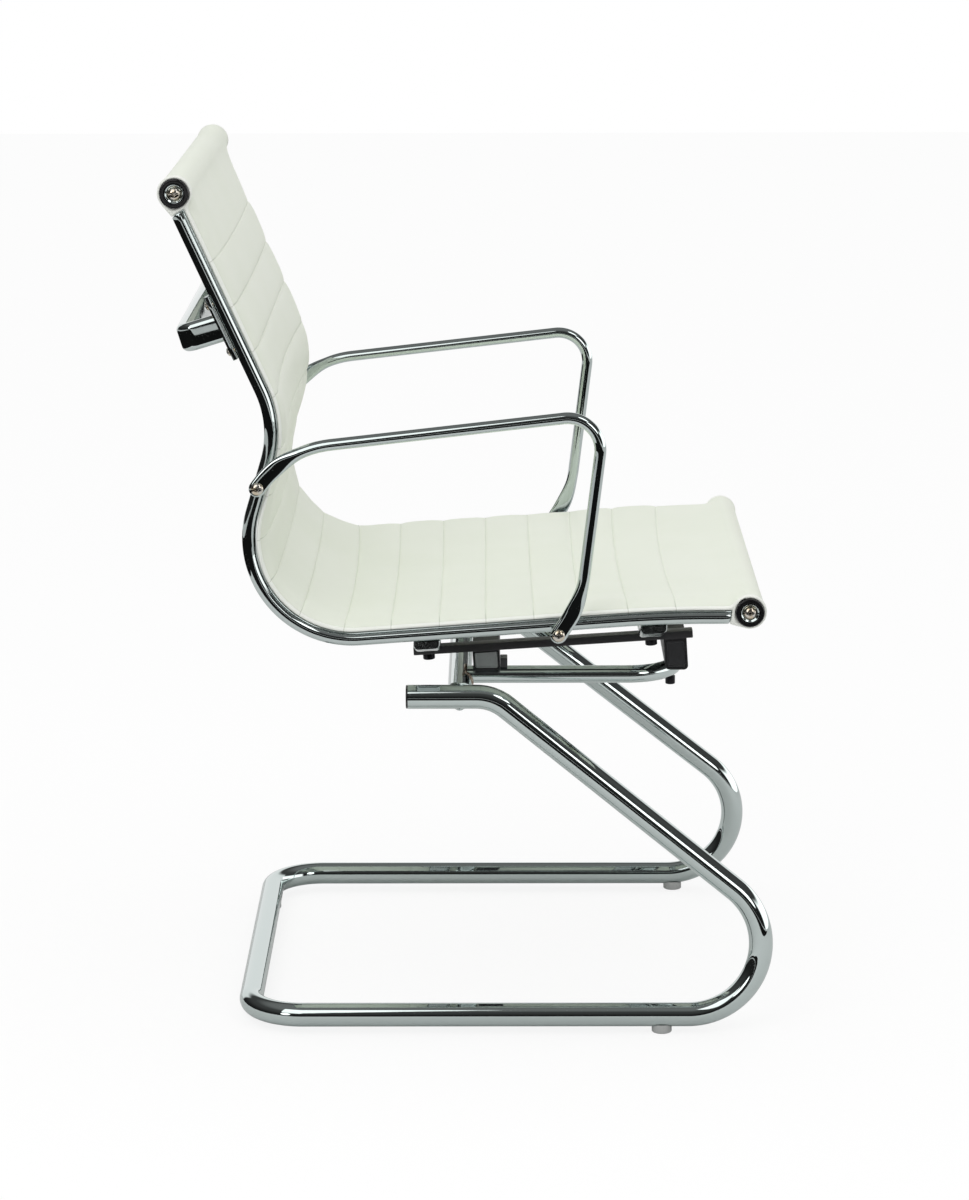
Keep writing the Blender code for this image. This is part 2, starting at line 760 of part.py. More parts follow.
def build_lugs():
    """Steel blocks on the hoop that keep the rear beam in place."""
    beam_front = bar_line(REAR_BEAM_X).x + REAR_BEAM_WIDTH / 2
    base = HOOP_Z + HOOP_RADIUS + GAP
    rear = beam_front + GAP * 4
    corners = ((rear, base), (rear, base + LUG_HEIGHT))
    corners += ((rear + LUG_LENGTH, base + LUG_HEIGHT), (rear + LUG_LENGTH, base))
    outline = [Vector((x, 0, z)) for x, z in corners]
    inner = HOOP_HALF_WIDTH - LUG_WIDTH / 2
    for side_name, side in SIDES:
        bm = cross_slab(outline, side, inner, inner + LUG_WIDTH)
        piece("hoop_lug_" + side_name, bm, STEEL)


def build_seat_bars():
    """Flat bars along the seat, with bolts up into the spreaders."""
    rear = bar_line(BAR_REAR_X)
    front = bar_line(BAR_FRONT_X)
    up = BAR_UP * BAR_HEIGHT
    outline = [rear, rear + up, front + up, front]
    inner = BAR_Y - BAR_WIDTH / 2
    for side_name, side in SIDES:
        bar = piece(
            "seat_bar_" + side_name,
            cross_slab(outline, side, inner, inner + BAR_WIDTH),
            BLACK_STEEL,
        )
        edge = bar.modifiers.new("edge", "BEVEL")
        edge.width = BAR_EDGE
        edge.segments = 1
        holes = []
        for place, x in SPREADER_X.items():
            seat = bar_line(x, -GAP) + Vector((0, side * BAR_Y, 0))
            reach = BAR_HEIGHT + BAR_BOLT_GRIP
            name = "bar_bolt_" + place + "_" + side_name
            flat_bolt(
                name,
                seat,
                -BAR_UP,
                BAR_BOLT_HEAD_RADIUS,
                BAR_BOLT_HEAD_HEIGHT,
                reach,
            )
            low = seat - BAR_UP * HOLE_MARGIN
            holes.append((low, seat + BAR_UP * reach, BOLT_SHANK_RADIUS + GAP))
        bore(bar, holes, sides=10)


def build_spreaders():
    """Polished strips that lie on the bars and turn up to the rails."""
    for place, x in SPREADER_X.items():
        low = bar_line(x, BAR_HEIGHT + GAP)
        rail_under = rail_z(x) - RAIL_HEIGHT / 2 / BAR_UP.z
        high = rail_under - GAP - SPREADER_TILT_ROOM - SPREADER_THICKNESS / BAR_UP.z
        step = high - low.z
        route = rounded([
            ((0, -SPREADER_HALF_LENGTH, step), 0),
            ((0, -SPREADER_SHOULDER_Y, step), SPREADER_BEND),
            ((0, -SPREADER_FLAT_Y, 0), SPREADER_BEND),
            ((0, SPREADER_FLAT_Y, 0), SPREADER_BEND),
            ((0, SPREADER_SHOULDER_Y, step), SPREADER_BEND),
            ((0, SPREADER_HALF_LENGTH, step), 0),
        ], radians(15))
        half = SPREADER_WIDTH / 2
        section = rounded([
            ((-half, 0, 0), SPREADER_ROUND),
            ((half, 0, 0), SPREADER_ROUND),
            ((half, 0, SPREADER_THICKNESS), 0),
            ((-half, 0, SPREADER_THICKNESS), 0),
        ], radians(30), closed=True)
        rings = []
        for point, way in zip(route, directions(route)):
            up = Vector((0, -way.z, way.y)) / way.y
            ring = []
            for corner in section:
                spot = low + BAR_WAY * corner.x + point + up * corner.z
                ring.append(spot)
            rings.append(ring)
        strip = piece("spreader_" + place, lofted(rings), CHROME)
        holes = []
        for _, side in SIDES:
            seat = low + Vector((0, side * BAR_Y, 0))
            start = seat - BAR_UP * HOLE_MARGIN
            tip = seat + BAR_UP * SPREADER_HOLE_DEPTH
            holes.append((start, tip, BOLT_SHANK_RADIUS + GAP))
        bore(strip, holes, sides=10)


def roll_ends():
    """For each roll: its name, centre, sitter normal and outward way."""
    top, way, normal = rail_frame(0)
    yield "top", top + normal * ROLL_OFFSET, normal, -way
    front, way, normal = rail_frame(rail_length())
    yield "front", front + normal * ROLL_OFFSET, normal, way


def rail_section():
    """The rail's section as (height, y): a flat back and a rounded face."""
    half = RAIL_HEIGHT / 2
    shoulder = RAIL_OUTER_Y - RAIL_BULGE
    section = []
    for i in range(RAIL_ARC_STEPS + 1):
        angle = pi * (i / RAIL_ARC_STEPS - 0.5)
        section.append((half * sin(angle), shoulder + RAIL_BULGE * cos(angle)))
    for height, y in ((0, RAIL_EDGE), (RAIL_EDGE, 0)):
        section.append((half - height, RAIL_INNER_Y + y))
    for height, y in ((RAIL_EDGE, 0), (0, RAIL_EDGE)):
        section.append((height - half, RAIL_INNER_Y + y))
    return section


def rail_rings(side):
    """Rings along a rail, its ends cut to the sling's wraps."""
    path = cut_short(RAIL_PATH, RAIL_END_STOP)
    ways = directions(path)
    clear = ROLL_TUBE_RADIUS + GAP + LOOP_THICKNESS + ROLL_ROOM
    rings = []
    for point, way in zip(path, ways):
        normal = left_of(way)
        ring = []
        for height, y in rail_section():
            spot = point + normal * height
            ring.append(Vector((spot.x, side * y, spot.z)))
        rings.append(ring)
    ends = []
    for ring, (_, centre, normal, away) in zip((rings[0], rings[-1]), roll_ends()):
        face = normal * cos(LOOP_TAIL_END) + away * sin(LOOP_TAIL_END)
        end = []
        for spot in ring:
            short = clear - (spot - centre).dot(face)
            end.append(spot + away * (short / away.dot(face)))
        ends.append(end)
    return [ends[0], *rings, ends[1]]


def build_rails():
    """S-shaped side rails with a tab at each end for the rolls."""
    for side_name, side in SIDES:
        rail = piece("side_rail_" + side_name, lofted(rail_rings(side)), POLISHED_ALLOY)
        tabs = bmesh.new()
        holes = []
        for _, centre, normal, away in roll_ends():
            pour(tabs, tab_slab(centre, normal, away, side, 0))
            inner = centre + Vector((0, side * RAIL_INNER_Y, 0))
            outer = centre + Vector((0, side * (RAIL_OUTER_Y + HOLE_MARGIN), 0))
            holes.append((inner, outer, SCREW_SHANK_RADIUS + GAP))
        combine(rail, tabs, "tabs", "UNION")
        for x, z in ARM_PADS.values():
            outer = Vector((x, side * (RAIL_OUTER_Y + HOLE_MARGIN), z))
            inner = Vector((x, side * (RAIL_OUTER_Y - SCREW_GRIP - GAP), z))
            holes.append((inner, outer, SCREW_SHANK_RADIUS + GAP))
        for seat in brace_screw_seats(side):
            tip = seat + BACK_NORMAL * (FLANGE_THICKNESS + BRACE_HOLE_DEPTH)
            holes.append((seat, tip, BRACE_SCREW_SHANK_RADIUS + GAP))
        bore(rail, holes, sides=10)


def tab_slab(centre, normal, away, side, room):
    """A flat tab from a rail's end to the middle of a roll, plus some room."""
    half = RAIL_TAB_WIDTH / 2 + room
    root = centre - normal * ROLL_OFFSET - away * RAIL_TAB_ROOT
    outline = [root + normal * half]
    for i in range(RAIL_TAB_STEPS + 1):
        angle = RAIL_TAB_LEAN * (1 - 2 * i / RAIL_TAB_STEPS)
        reach = normal * sin(angle) + away * cos(angle)
        outline.append(centre + reach * RAIL_TAB_ROUND)
    outline.append(root - normal * half)
    return cross_slab(outline, side, RAIL_TAB_INNER_Y - room, RAIL_TAB_OUTER_Y + room)


def build_rolls():
    """The tubes inside the rolls with the caps, washers and screws."""
    inner = ROLL_TUBE_RADIUS - ROLL_TUBE_WALL
    clear = SCREW_SHANK_RADIUS + GAP
    length = ROLL_HALF_LENGTH
    deep = length - ROLL_END_WALL
    profile = [
        (clear, length),
        (ROLL_TUBE_RADIUS, length),
        (ROLL_TUBE_RADIUS, -length),
        (clear, -length),
        (clear, -deep),
        (inner, -deep),
        (inner, deep),
        (clear, deep),
    ]
    for place, centre, _, _ in roll_ends():
        bm = turned(profile, centre, (0, 1, 0), 24, ring=True)
        piece(place + "_roll_tube", bm, STEEL)
        for side_name, side in SIDES:
            build_cap(place + "_" + side_name, centre, side)


def build_cap(suffix, centre, side):
    """One black cap with a spigot, its cup washer and its screw."""
    out = Vector((0, side, 0))
    clear = SCREW_SHANK_RADIUS + GAP
    seat = centre + out * CAP_SEAT_Y
    spigot = CAP_SEAT_Y - RAIL_TAB_OUTER_Y - GAP
    cap = [
        (clear, -spigot),
        (CAP_SPIGOT_RADIUS, -spigot),
        (CAP_SPIGOT_RADIUS, 0),
        (CAP_RADIUS, 0),
        (CAP_RADIUS, CAP_DEPTH - CAP_ROUND),
        (CAP_RADIUS - CAP_ROUND, CAP_DEPTH),
        (CAP_RECESS_RADIUS, CAP_DEPTH),
        (CAP_RECESS_RADIUS, CAP_FLOOR),
        (clear, CAP_FLOOR),
    ]
    piece("end_cap_" + suffix, turned(cap, seat, out, 18, ring=True), BLACK_PLASTIC)
    base = seat + out * (CAP_FLOOR + GAP)
    washer = [
        (clear, 0),
        (WASHER_FLAT_RADIUS, 0),
        (WASHER_RADIUS, WASHER_DEPTH),
        (WASHER_RADIUS - WASHER_THICKNESS, WASHER_DEPTH),
        (WASHER_FLAT_RADIUS - WASHER_THICKNESS / 2, WASHER_THICKNESS),
        (clear, WASHER_THICKNESS),
    ]
    piece("cap_washer_" + suffix, turned(washer, base, out, 14, ring=True), CHROME)
    head = base + out * (WASHER_THICKNESS + GAP)
    reach = (head - centre).dot(out) - ROLL_HALF_LENGTH + ROLL_END_WALL + SCREW_TIP
    dome_screw("cap_screw_" + suffix, head, out, reach)


def sling_course(distance):
    """The panel's lift at its edge and its bow at a distance down the rail."""
    for (a, lift_a, bow_a), (b, lift_b, bow_b) in zip(SLING_COURSE, SLING_COURSE[1:]):
        if distance <= b:
            break
    share = min(1.0, (distance - a) / (b - a))
    share = share * share * (3 - 2 * share)
    return lift_a + (lift_b - lift_a) * share, bow_a + (bow_b - bow_a) * share


def sling_ring(width, normal, outer, inner, lift, drop, bow):
    """One ring across the sling.

    outer and inner are points of the hem's two faces in the XZ plane. The
    panel's front stands above the hem by the lift and its back below by the
    drop, and the bow raises the middle of both.
    """
    middle = PANEL_FULL_Y * PANEL_HALF_SHARE
    half = [(width, 0), (PANEL_EDGE_Y, 0), (PANEL_FULL_Y, 1), (middle, 1)]
    front = [(-y, share) for y, share in half] + [(0, 1)] + half[::-1]
    back = ((width, 0), (PANEL_EDGE_Y, 0), (0, 1), (-PANEL_EDGE_Y, 0), (-width, 0))
    ring = []
    for y, share in front:
        rise = bow * (1 - (y / width) ** 2)
        spot = outer + normal * (lift * share + rise)
        ring.append(Vector((spot.x, y, spot.z)))
    for y, share in back:
        spot = inner + normal * ((bow - drop) * share)
        ring.append(Vector((spot.x, y, spot.z)))
    return ring


def loop_rings(centre, normal, away):
    """Rings of the sling's wrap about a roll, from its closed end to the seat.

    The outer face is a circle but for a corner behind the roll, where its
    tangents at the tail's start and end meet.
    """
    inner_radius = ROLL_TUBE_RADIUS + GAP
    outer_radius = inner_radius + LOOP_THICKNESS
    corner = (LOOP_TAIL_START + LOOP_TAIL_END) / 2
    step = (LOOP_TAIL_START + LOOP_LEAVE) / LOOP_STEPS
    stations = []
    for i in range(LOOP_STEPS + 1):
        stations.append((step * i - LOOP_LEAVE, 0))
    for angle in ((LOOP_TAIL_START + corner) / 2, corner, (corner + LOOP_CLOSE) / 2, LOOP_CLOSE):
        tangent = LOOP_TAIL_START if angle <= corner else LOOP_TAIL_END
        stations.append((angle, angle - tangent))
    rings = []
    for angle, off_tangent in reversed(stations):
        reach = normal * cos(angle) + away * sin(angle)
        outer = centre + reach * (outer_radius / cos(off_tangent))
        inner = centre + reach * (inner_radius / cos(step / 2))
        rings.append(sling_ring(LOOP_HALF_WIDTH, reach, outer, inner, -LOOP_DIP, 0, 0))
    return rings


def above_roll(radius, distance):
    """Height of a circle about a roll over the rail's centreline, or zero."""
    if distance >= radius:
        return 0
    return ROLL_OFFSET + sqrt(radius**2 - distance**2)


def build_sling():
    """The one-piece ribbed seat and back, wrapped round both rolls.

    Along the rails its hem lies on them, up to the wraps. The panel stands
    above the hem, each rib swells between two seams, and near a roll the
    panel climbs a straight ramp to the wrap. Pulled tight, it bows forward
    across the hollow of the seat and back, and rearward at the waist.
    """
    length = rail_length()
    under = RAIL_HEIGHT / 2 + SLING_REST
    hem = under + HEM_THICKNESS
    loop_inner = ROLL_TUBE_RADIUS + GAP
    loop_outer = loop_inner + LOOP_THICKNESS
    leave_along = loop_outer * sin(LOOP_LEAVE)
    leave_height = above_roll(loop_outer, leave_along) - LOOP_DIP

    def strip_ring(distance, crown):
        point, _, normal = rail_frame(distance)
        lift, bow = sling_course(distance)
        near_end = min(distance, length - distance)
        ramp = leave_height - (near_end - leave_along) * tan(LOOP_LEAVE)
        outer = max(hem, above_roll(loop_outer, near_end))
        inner = max(under, above_roll(loop_inner + ROLL_ROOM, near_end))
        front = max(hem + lift, ramp) + RIB_CROWN * crown
        back = max(under, ramp - LOOP_MIDDLE) - RIB_BACK_CROWN * crown
        return sling_ring(
            HEM_HALF_WIDTH if outer == hem else LOOP_HALF_WIDTH,
            normal,
            point + normal * outer,
            point + normal * inner,
            front - outer,
            inner - back,
            bow,
        )

    (_, top_centre, top_normal, top_away), (_, front_centre, front_normal, front_away) = roll_ends()
    rings = loop_rings(top_centre, top_normal, top_away)
    for distance in LOOP_RAMP:
        rings.append(strip_ring(distance, 0.0))
    for rib in range(SEAM_COUNT - 1):
        for share in RIB_STATIONS:
            crown = 1 - (2 * share - 1) ** 4
            distance = SEAM_FIRST + SEAM_PITCH * (rib + share)
            rings.append(strip_ring(distance, crown))
    rings.append(strip_ring(SEAM_FIRST + SEAM_PITCH * (SEAM_COUNT - 1), 0.0))
    for distance in reversed(LOOP_RAMP):
        rings.append(strip_ring(length - distance, 0.0))
    rings += reversed(loop_rings(front_centre, front_normal, front_away))
    sling = piece("sling", lofted(rings), LEATHERETTE)
    slots = bmesh.new()
    for _, side in SIDES:
        for _, centre, normal, away in roll_ends():
            pour(slots, tab_slab(centre, normal, away, side, TAB_SLOT_ROOM))
    combine(sling, slots, "tab_slots", "DIFFERENCE")


def brace_screw_seats(side):
    """Where the brace's screw heads sit on one flange."""
    seats = []
    back = BACK_POINT - BACK_NORMAL * (RAIL_HEIGHT / 2 + FLANGE_THICKNESS + GAP * 2)
    y = side * (FLANGE_INNER_Y + FLANGE_OUTER_Y) / 2
    for end in (-1, 1):
        spot = back + BACK_DOWN * (end * BRACE_SCREW_PITCH / 2)
        seats.append(Vector((spot.x, y, spot.z)))
    return seats


def build_brace():
    """The cast U behind the back, with a flange on each rail."""
    rear = -BACK_NORMAL * cos(BRACE_RISE) - BACK_DOWN * sin(BRACE_RISE)
    tall = -BACK_DOWN * cos(BRACE_RISE) + BACK_NORMAL * sin(BRACE_RISE)
    face = RAIL_HEIGHT / 2 + GAP
    root = BACK_POINT - BACK_NORMAL * (face + FLANGE_ROOT)
    inner_y = BRACE_OUTER_Y - BRACE_THICKNESS
    inner_reach = BRACE_REACH - BRACE_THICKNESS
    plan = [
        (-BRACE_OUTER_Y, 0, 0),
        (-BRACE_OUTER_Y, BRACE_REACH, BRACE_OUTER_CORNER),
        (BRACE_OUTER_Y, BRACE_REACH, BRACE_OUTER_CORNER),
        (BRACE_OUTER_Y, 0, 0),
        (inner_y, 0, 0),
        (inner_y, inner_reach, BRACE_INNER_CORNER),
        (-inner_y, inner_reach, BRACE_INNER_CORNER),
        (-inner_y, 0, 0),
    ]
    corners = []
    for y, reach, radius in plan:
        spot = root + rear * reach - tall * (BRACE_HEIGHT / 2)
        corners.append(((spot.x, y, spot.z), radius))
    outline = rounded(corners, radians(18), closed=True)
    brace = piece("back_brace", slab(outline, tall * BRACE_HEIGHT), POLISHED_ALLOY)
    edge = brace.modifiers.new("edge", "BEVEL")
    edge.width = BRACE_ROUND
    edge.segments = 2
    edge.limit_method = "ANGLE"
    edge.angle_limit = radians(40)
    flanges = bmesh.new()
    holes = []
    half = BACK_DOWN * (FLANGE_LENGTH / 2)
    front = BACK_POINT - BACK_NORMAL * face
    back = front - BACK_NORMAL * FLANGE_THICKNESS
    for _, side in SIDES:
        plate = cross_slab(
            [front - half, front + half, back + half, back - half],
            side,
            FLANGE_INNER_Y,
            FLANGE_OUTER_Y,
        )
        pour(flanges, plate)
        for seat in brace_screw_seats(side):
            start = seat - BACK_NORMAL * HOLE_MARGIN
            tip = seat + BACK_NORMAL * (FLANGE_THICKNESS + FLANGE_ROOT)
            holes.append((start, tip, BRACE_SCREW_SHANK_RADIUS + GAP))
    combine(brace, flanges, "flanges", "UNION")
    bore(brace, holes, sides=10)


def build_brace_screws():
    """Small round-head screws through the brace's flanges."""
    reach = FLANGE_THICKNESS + BRACE_SCREW_GRIP
    profile = [(0, BRACE_SCREW_HEAD_HEIGHT)]
    for angle in BRACE_DOME_ANGLES:
        lean = radians(angle)
        radius = BRACE_SCREW_HEAD_RADIUS * sin(lean)
        profile.append((radius, BRACE_SCREW_HEAD_HEIGHT * cos(lean)))
    profile += [
        (BRACE_SCREW_SHANK_RADIUS, 0),
        (BRACE_SCREW_SHANK_RADIUS, -reach),
        (0, -reach),
    ]
    for side_name, side in SIDES:
        for end, seat in zip(("upper", "lower"), brace_screw_seats(side)):
            bm = turned(profile, seat, -BACK_NORMAL, 10)
            piece("brace_screw_" + end + "_" + side_name, bm, STEEL)


def arm_section(width, thickness):
    """Points (across, out) of the rod's section, round to flattened."""
    flatness = (ARM_ROD - thickness) / (ARM_ROD - ARM_LEAF_THICKNESS)
    power = 1 - ARM_SECTION_SQUARENESS * flatness
    section = []
    for i in range(ARM_SECTION_SIDES):
        angle = tau * (i + 0.5) / ARM_SECTION_SIDES
        c = cos(angle)
        s = sin(angle)
        across = abs(c) ** power * (1 if c > 0 else -1)
        out = abs(s) ** power * (1 if s > 0 else -1)
        section.append((across * width / 2, out * thickness / 2))
    return section


def arm_size(distance):
    """Width and thickness of the armrest at a distance from its pad."""
    share = (distance - ARM_LEAF_LENGTH) / (ARM_LEAF_FADE - ARM_LEAF_LENGTH)
    share = min(1.0, max(0.0, share))
    share = share * share * (3 - 2 * share)
    width = ARM_LEAF_WIDTH + (ARM_ROD - ARM_LEAF_WIDTH) * share
    thickness = ARM_LEAF_THICKNESS + (ARM_ROD - ARM_LEAF_THICKNESS) * share
    return width, thickness


def arm_route():
    """Points, ways and sizes along an armrest, its round ends included."""
    route = []
    ways = directions(ARM_PATH)
    total = sum((b - a).length for a, b in zip(ARM_PATH, ARM_PATH[1:]))
    spots = []
    done = 0.0
    for i, (point, way) in enumerate(zip(ARM_PATH, ways)):
        if i:
            done += (point - ARM_PATH[i - 1]).length
        spots.append((done, point, way))
    extra = []
    for (a, first, way_a), (b, second, way_b) in zip(spots, spots[1:]):
        pieces = 1
        if min(a, total - b) < ARM_LEAF_FADE:
            pieces = ceil((b - a) / ARM_LEAF_PIECE)
        for k in range(1, pieces):
            share = k / pieces
            spot = first.lerp(second, share)
            extra.append((a + (b - a) * share, spot, way_a.lerp(way_b, share).normalized()))
    spots = sorted(spots + extra, key=lambda entry: entry[0])
    radius = ARM_LEAF_WIDTH / 2
    for end, sign in ((0, -1), (-1, 1)):
        _, point, way = spots[end]
        caps = []
        for angle in ARM_TIP_ANGLES:
            lean = radians(angle)
            caps.append((point + way * (sign * radius * sin(lean)), way, cos(lean)))
        if sign < 0:
            route += [(p, w, ARM_LEAF_WIDTH * c, ARM_LEAF_THICKNESS) for p, w, c in reversed(caps)]
            for distance, p, w in spots:
                width, thickness = arm_size(min(distance, total - distance))
                route.append((p, w, width, thickness))
        else:
            route += [(p, w, ARM_LEAF_WIDTH * c, ARM_LEAF_THICKNESS) for p, w, c in caps]
    return route


def build_armrests():
    """Bent rods with forged leaf ends, on spacers with dome screws."""
    route = arm_route()
    half = ARM_LEAF_THICKNESS / 2
    clear = SCREW_SHANK_RADIUS + GAP
    for side_name, side in SIDES:
        rings = []
        for point, way, width, thickness in route:
            normal = left_of(way)
            ring = []
            for across, out in arm_section(width, thickness):
                spot = point + normal * across
                ring.append(Vector((spot.x, side * (ARM_Y + out), spot.z)))
            rings.append(ring)
        arm = piece("armrest_" + side_name, lofted(rings), CHROME)
        holes = []
        for place, (x, z) in ARM_PADS.items():
            suffix = place + "_" + side_name
            out = Vector((0, side, 0))
            middle = Vector((x, 0, z))
            seat = middle + out * (ARM_Y + half + GAP)
            reach = ARM_Y + half + GAP - RAIL_OUTER_Y + SCREW_GRIP
            dome_screw("arm_screw_" + suffix, seat, out, reach)
            base = middle + out * (RAIL_OUTER_Y + GAP)
            length = ARM_Y - half - GAP - RAIL_OUTER_Y - GAP
            spacer = [
                (clear, 0),
                (ARM_SPACER_RADIUS, 0),
                (ARM_SPACER_RADIUS, length),
                (clear, length),
            ]
            bm = turned(spacer, base, out, 12, ring=True)
            piece("arm_spacer_" + suffix, bm, CHROME)
            holes.append((middle + out * (ARM_Y - half * 2), middle + out * (ARM_Y + half * 2), clear))
        bore(arm, holes, sides=10)


build_sled()
build_glides()
build_tube_plugs()
build_cross_tube()
build_hoop()
build_beams()
build_lugs()
build_seat_bars()
build_spreaders()
build_rails()
build_rolls()
build_sling()
build_brace()
build_brace_screws()
build_armrests()
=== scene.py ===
from math import ceil, cos, pi, radians, sin, tan, tau

import bmesh
import bpy
import numpy as np
from mathutils import Matrix, Vector


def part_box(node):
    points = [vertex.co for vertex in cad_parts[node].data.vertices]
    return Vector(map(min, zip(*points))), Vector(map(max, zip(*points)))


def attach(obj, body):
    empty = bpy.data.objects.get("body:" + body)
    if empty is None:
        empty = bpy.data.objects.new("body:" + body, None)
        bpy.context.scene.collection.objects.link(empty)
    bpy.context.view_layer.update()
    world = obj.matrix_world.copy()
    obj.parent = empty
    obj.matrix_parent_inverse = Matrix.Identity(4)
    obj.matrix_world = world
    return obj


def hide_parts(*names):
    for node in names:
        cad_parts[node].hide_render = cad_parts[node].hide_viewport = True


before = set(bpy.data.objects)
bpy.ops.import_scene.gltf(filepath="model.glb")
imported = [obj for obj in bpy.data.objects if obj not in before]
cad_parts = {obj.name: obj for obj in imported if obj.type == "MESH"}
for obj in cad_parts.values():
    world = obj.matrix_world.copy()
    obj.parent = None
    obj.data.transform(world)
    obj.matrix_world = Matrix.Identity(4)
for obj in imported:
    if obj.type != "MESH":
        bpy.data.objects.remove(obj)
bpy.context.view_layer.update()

# The sled base is one 25 mm steel tube, bent cold in six places and chrome
# plated. Its open rear ends stand free behind the cross tube, and its legs
# lean a little towards each other as they rise to the seat.

TUBE_RADIUS = 0.0125
TUBE_WALL = 0.002
SLED_HALF_WIDTH = 0.250
TOP_HALF_WIDTH = 0.223
FLOOR_RUN_Z = 0.0185
TOP_RUN_Z = 0.355
TOP_RUN_REAR_X = -0.0697
TOP_BEND_X = 0.0207
SLANT = radians(38.92)
REAR_BAR_X = -0.2364
PLUG_RIM = 0.002
GAP = 0.0003


def unit(vectors):
    """Each vector over its own length."""
    return vectors / np.linalg.norm(vectors, axis=-1, keepdims=True)


def bent(corners, turn=radians(3)):
    """Centreline through corners (x, y, z, radius).

    At a corner the straight run stops radius * tan(half the turn) short, and
    an arc takes over: centre + radius * (cos a * u + sin a * v), where u looks
    from the centre to the arc's start and v is the way of travel there.
    """
    spots = np.array([corner[:3] for corner in corners], float)
    line = [spots[:1]]
    for i in range(1, len(corners) - 1):
        back = unit(spots[i - 1] - spots[i])
        ahead = unit(spots[i + 1] - spots[i])
        radius = corners[i][3]
        half = (pi - np.arccos(np.clip(back @ ahead, -1, 1))) / 2
        if radius == 0 or half < 1e-4:
            line.append(spots[i : i + 1])
            continue
        centre = spots[i] + unit(back + ahead) * radius / cos(half)
        u = unit(spots[i] + back * radius * tan(half) - centre)
        a = np.linspace(0, 2 * half, ceil(2 * half / turn) + 1)[:, None]
        line.append(centre + radius * (np.cos(a) * u - np.sin(a) * back))
    line.append(spots[-1:])
    return np.concatenate(line)


def ways(line):
    """Direction of travel at each point: the mean of the runs on both sides."""
    runs = unit(np.diff(line, axis=0))
    return unit(np.concatenate([runs[:1], runs[:-1] + runs[1:], runs[-1:]]))


def mirrored(corners):
    """Corners (x, y, z, radius) and, in reverse, the same at -y."""
    return corners + [(x, -y, z, radius) for x, y, z, radius in reversed(corners)]


def circle(radius, sides):
    """A ring of (across, out) points: radius times cos a and sin a."""
    a = np.linspace(0, tau, sides, endpoint=False)
    return radius * np.stack([np.cos(a), np.sin(a)], -1)


def carried(line, section, across, out):
    """A section carried along a line: point + first * across + second * out.

    The section and the two directions are the same all along, or one a point.
    """
    section = np.broadcast_to(section, (len(line), *section.shape[-2:]))
    across, out = (np.broadcast_to(way, line.shape)[:, None] for way in (across, out))
    return line[:, None] + (section[..., :1] * across + section[..., 1:] * out)


def pipe(line, radius, wall=0.0, sides=48, lean=(0, 0.71, 0.71)):
    """A round tube along a line, with its bore when it has a wall.

    The section's axes are the way of travel crossed with a fixed leaning
    vector that no run is parallel to, and that result crossed again.
    """
    way = ways(line)
    across = unit(np.cross(way, lean))
    out = np.cross(way, across)
    grid = carried(line, circle(radius, sides), across, out)
    if wall:
        bore = carried(line, circle(radius - wall, sides), across, out)
        grid = np.concatenate([grid, bore[::-1]])
    return grid


def shown(name, data):
    """Puts an object with this data into the scene."""
    made = bpy.data.objects.new(name, data)
    bpy.context.scene.collection.objects.link(made)
    return made


def piece(name, grid, finish, slot, *nodes, ring=False, sharp=38, bevel=0.0):
    """A closed mesh over a grid of points, wrapped round its second index.

    The first index is wrapped too when ring is set, and is closed by a face
    at each end when it isn't. Rows that shrink to a point weld into a pole.
    The piece rides on the one body and stands for the CAD nodes it names.
    """
    rows, sides = grid.shape[:2]
    i = np.arange(rows if ring else rows - 1)[:, None] * sides
    j = np.arange(sides)[None]
    next_i = (i + sides) % (rows * sides)
    next_j = (j + 1) % sides
    faces = np.stack([i + j, i + next_j, next_i + next_j, next_i + j], -1)
    faces = faces.reshape(-1, 4).tolist()
    if not ring:
        faces += [list(range(sides)), list(range((rows - 1) * sides, rows * sides))]
    mesh = bpy.data.meshes.new(name)
    mesh.from_pydata(grid.reshape(-1, 3).tolist(), [], faces)
    work = bmesh.new()
    work.from_mesh(mesh)
    bmesh.ops.remove_doubles(work, verts=work.verts, dist=2e-6)
    bmesh.ops.recalc_face_normals(work, faces=work.faces)
    if work.calc_volume(signed=True) < 0:
        bmesh.ops.reverse_faces(work, faces=work.faces)
    work.to_mesh(mesh)
    work.free()
    mesh.shade_smooth()
    mesh.set_sharp_from_angle(angle=radians(sharp))
    mesh.materials.append(finish)
    made = shown(name, mesh)
    if bevel:
        edge = made.modifiers.new("edge", "BEVEL")
        edge.width = bevel
        edge.segments = 3
        edge.limit_method = "ANGLE"
        edge.angle_limit = radians(40)
        edge.harden_normals = True
    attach(made, "root")
    if nodes:
        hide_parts(*nodes)
    return made


class Signal:
    """An output of a node; arithmetic on it adds Math nodes."""

    def __init__(self, finish, socket):
        self.finish = finish
        self.socket = socket

    def maths(self, operation, *terms):
        """A Math node's result on these terms."""
        sockets = dict(enumerate(terms))
        return self.finish.node("ShaderNodeMath", {"operation": operation}, sockets)

    def __add__(self, other):
        return self.maths("ADD", self, other)

    def __sub__(self, other):
        return self.maths("SUBTRACT", self, other)

    def __mul__(self, other):
        return self.maths("MULTIPLY", self, other)

    def __rsub__(self, other):
        return self.maths("SUBTRACT", other, self)

    def __abs__(self):
        return self.maths("ABSOLUTE", self)

    __radd__ = __add__
    __rmul__ = __mul__

    def rise(self, low, high):
        """0 below low, 1 above high, smooth between them."""
        settings = {"interpolation_type": "SMOOTHSTEP"}
        sockets = {"Value": self, "From Min": low, "From Max": high}
        return self.finish.node("ShaderNodeMapRange", settings, sockets)


def rgba(value):
    """A colour with its alpha; a number or a signal as it is."""
    return (*value, 1.0) if isinstance(value, tuple) else value


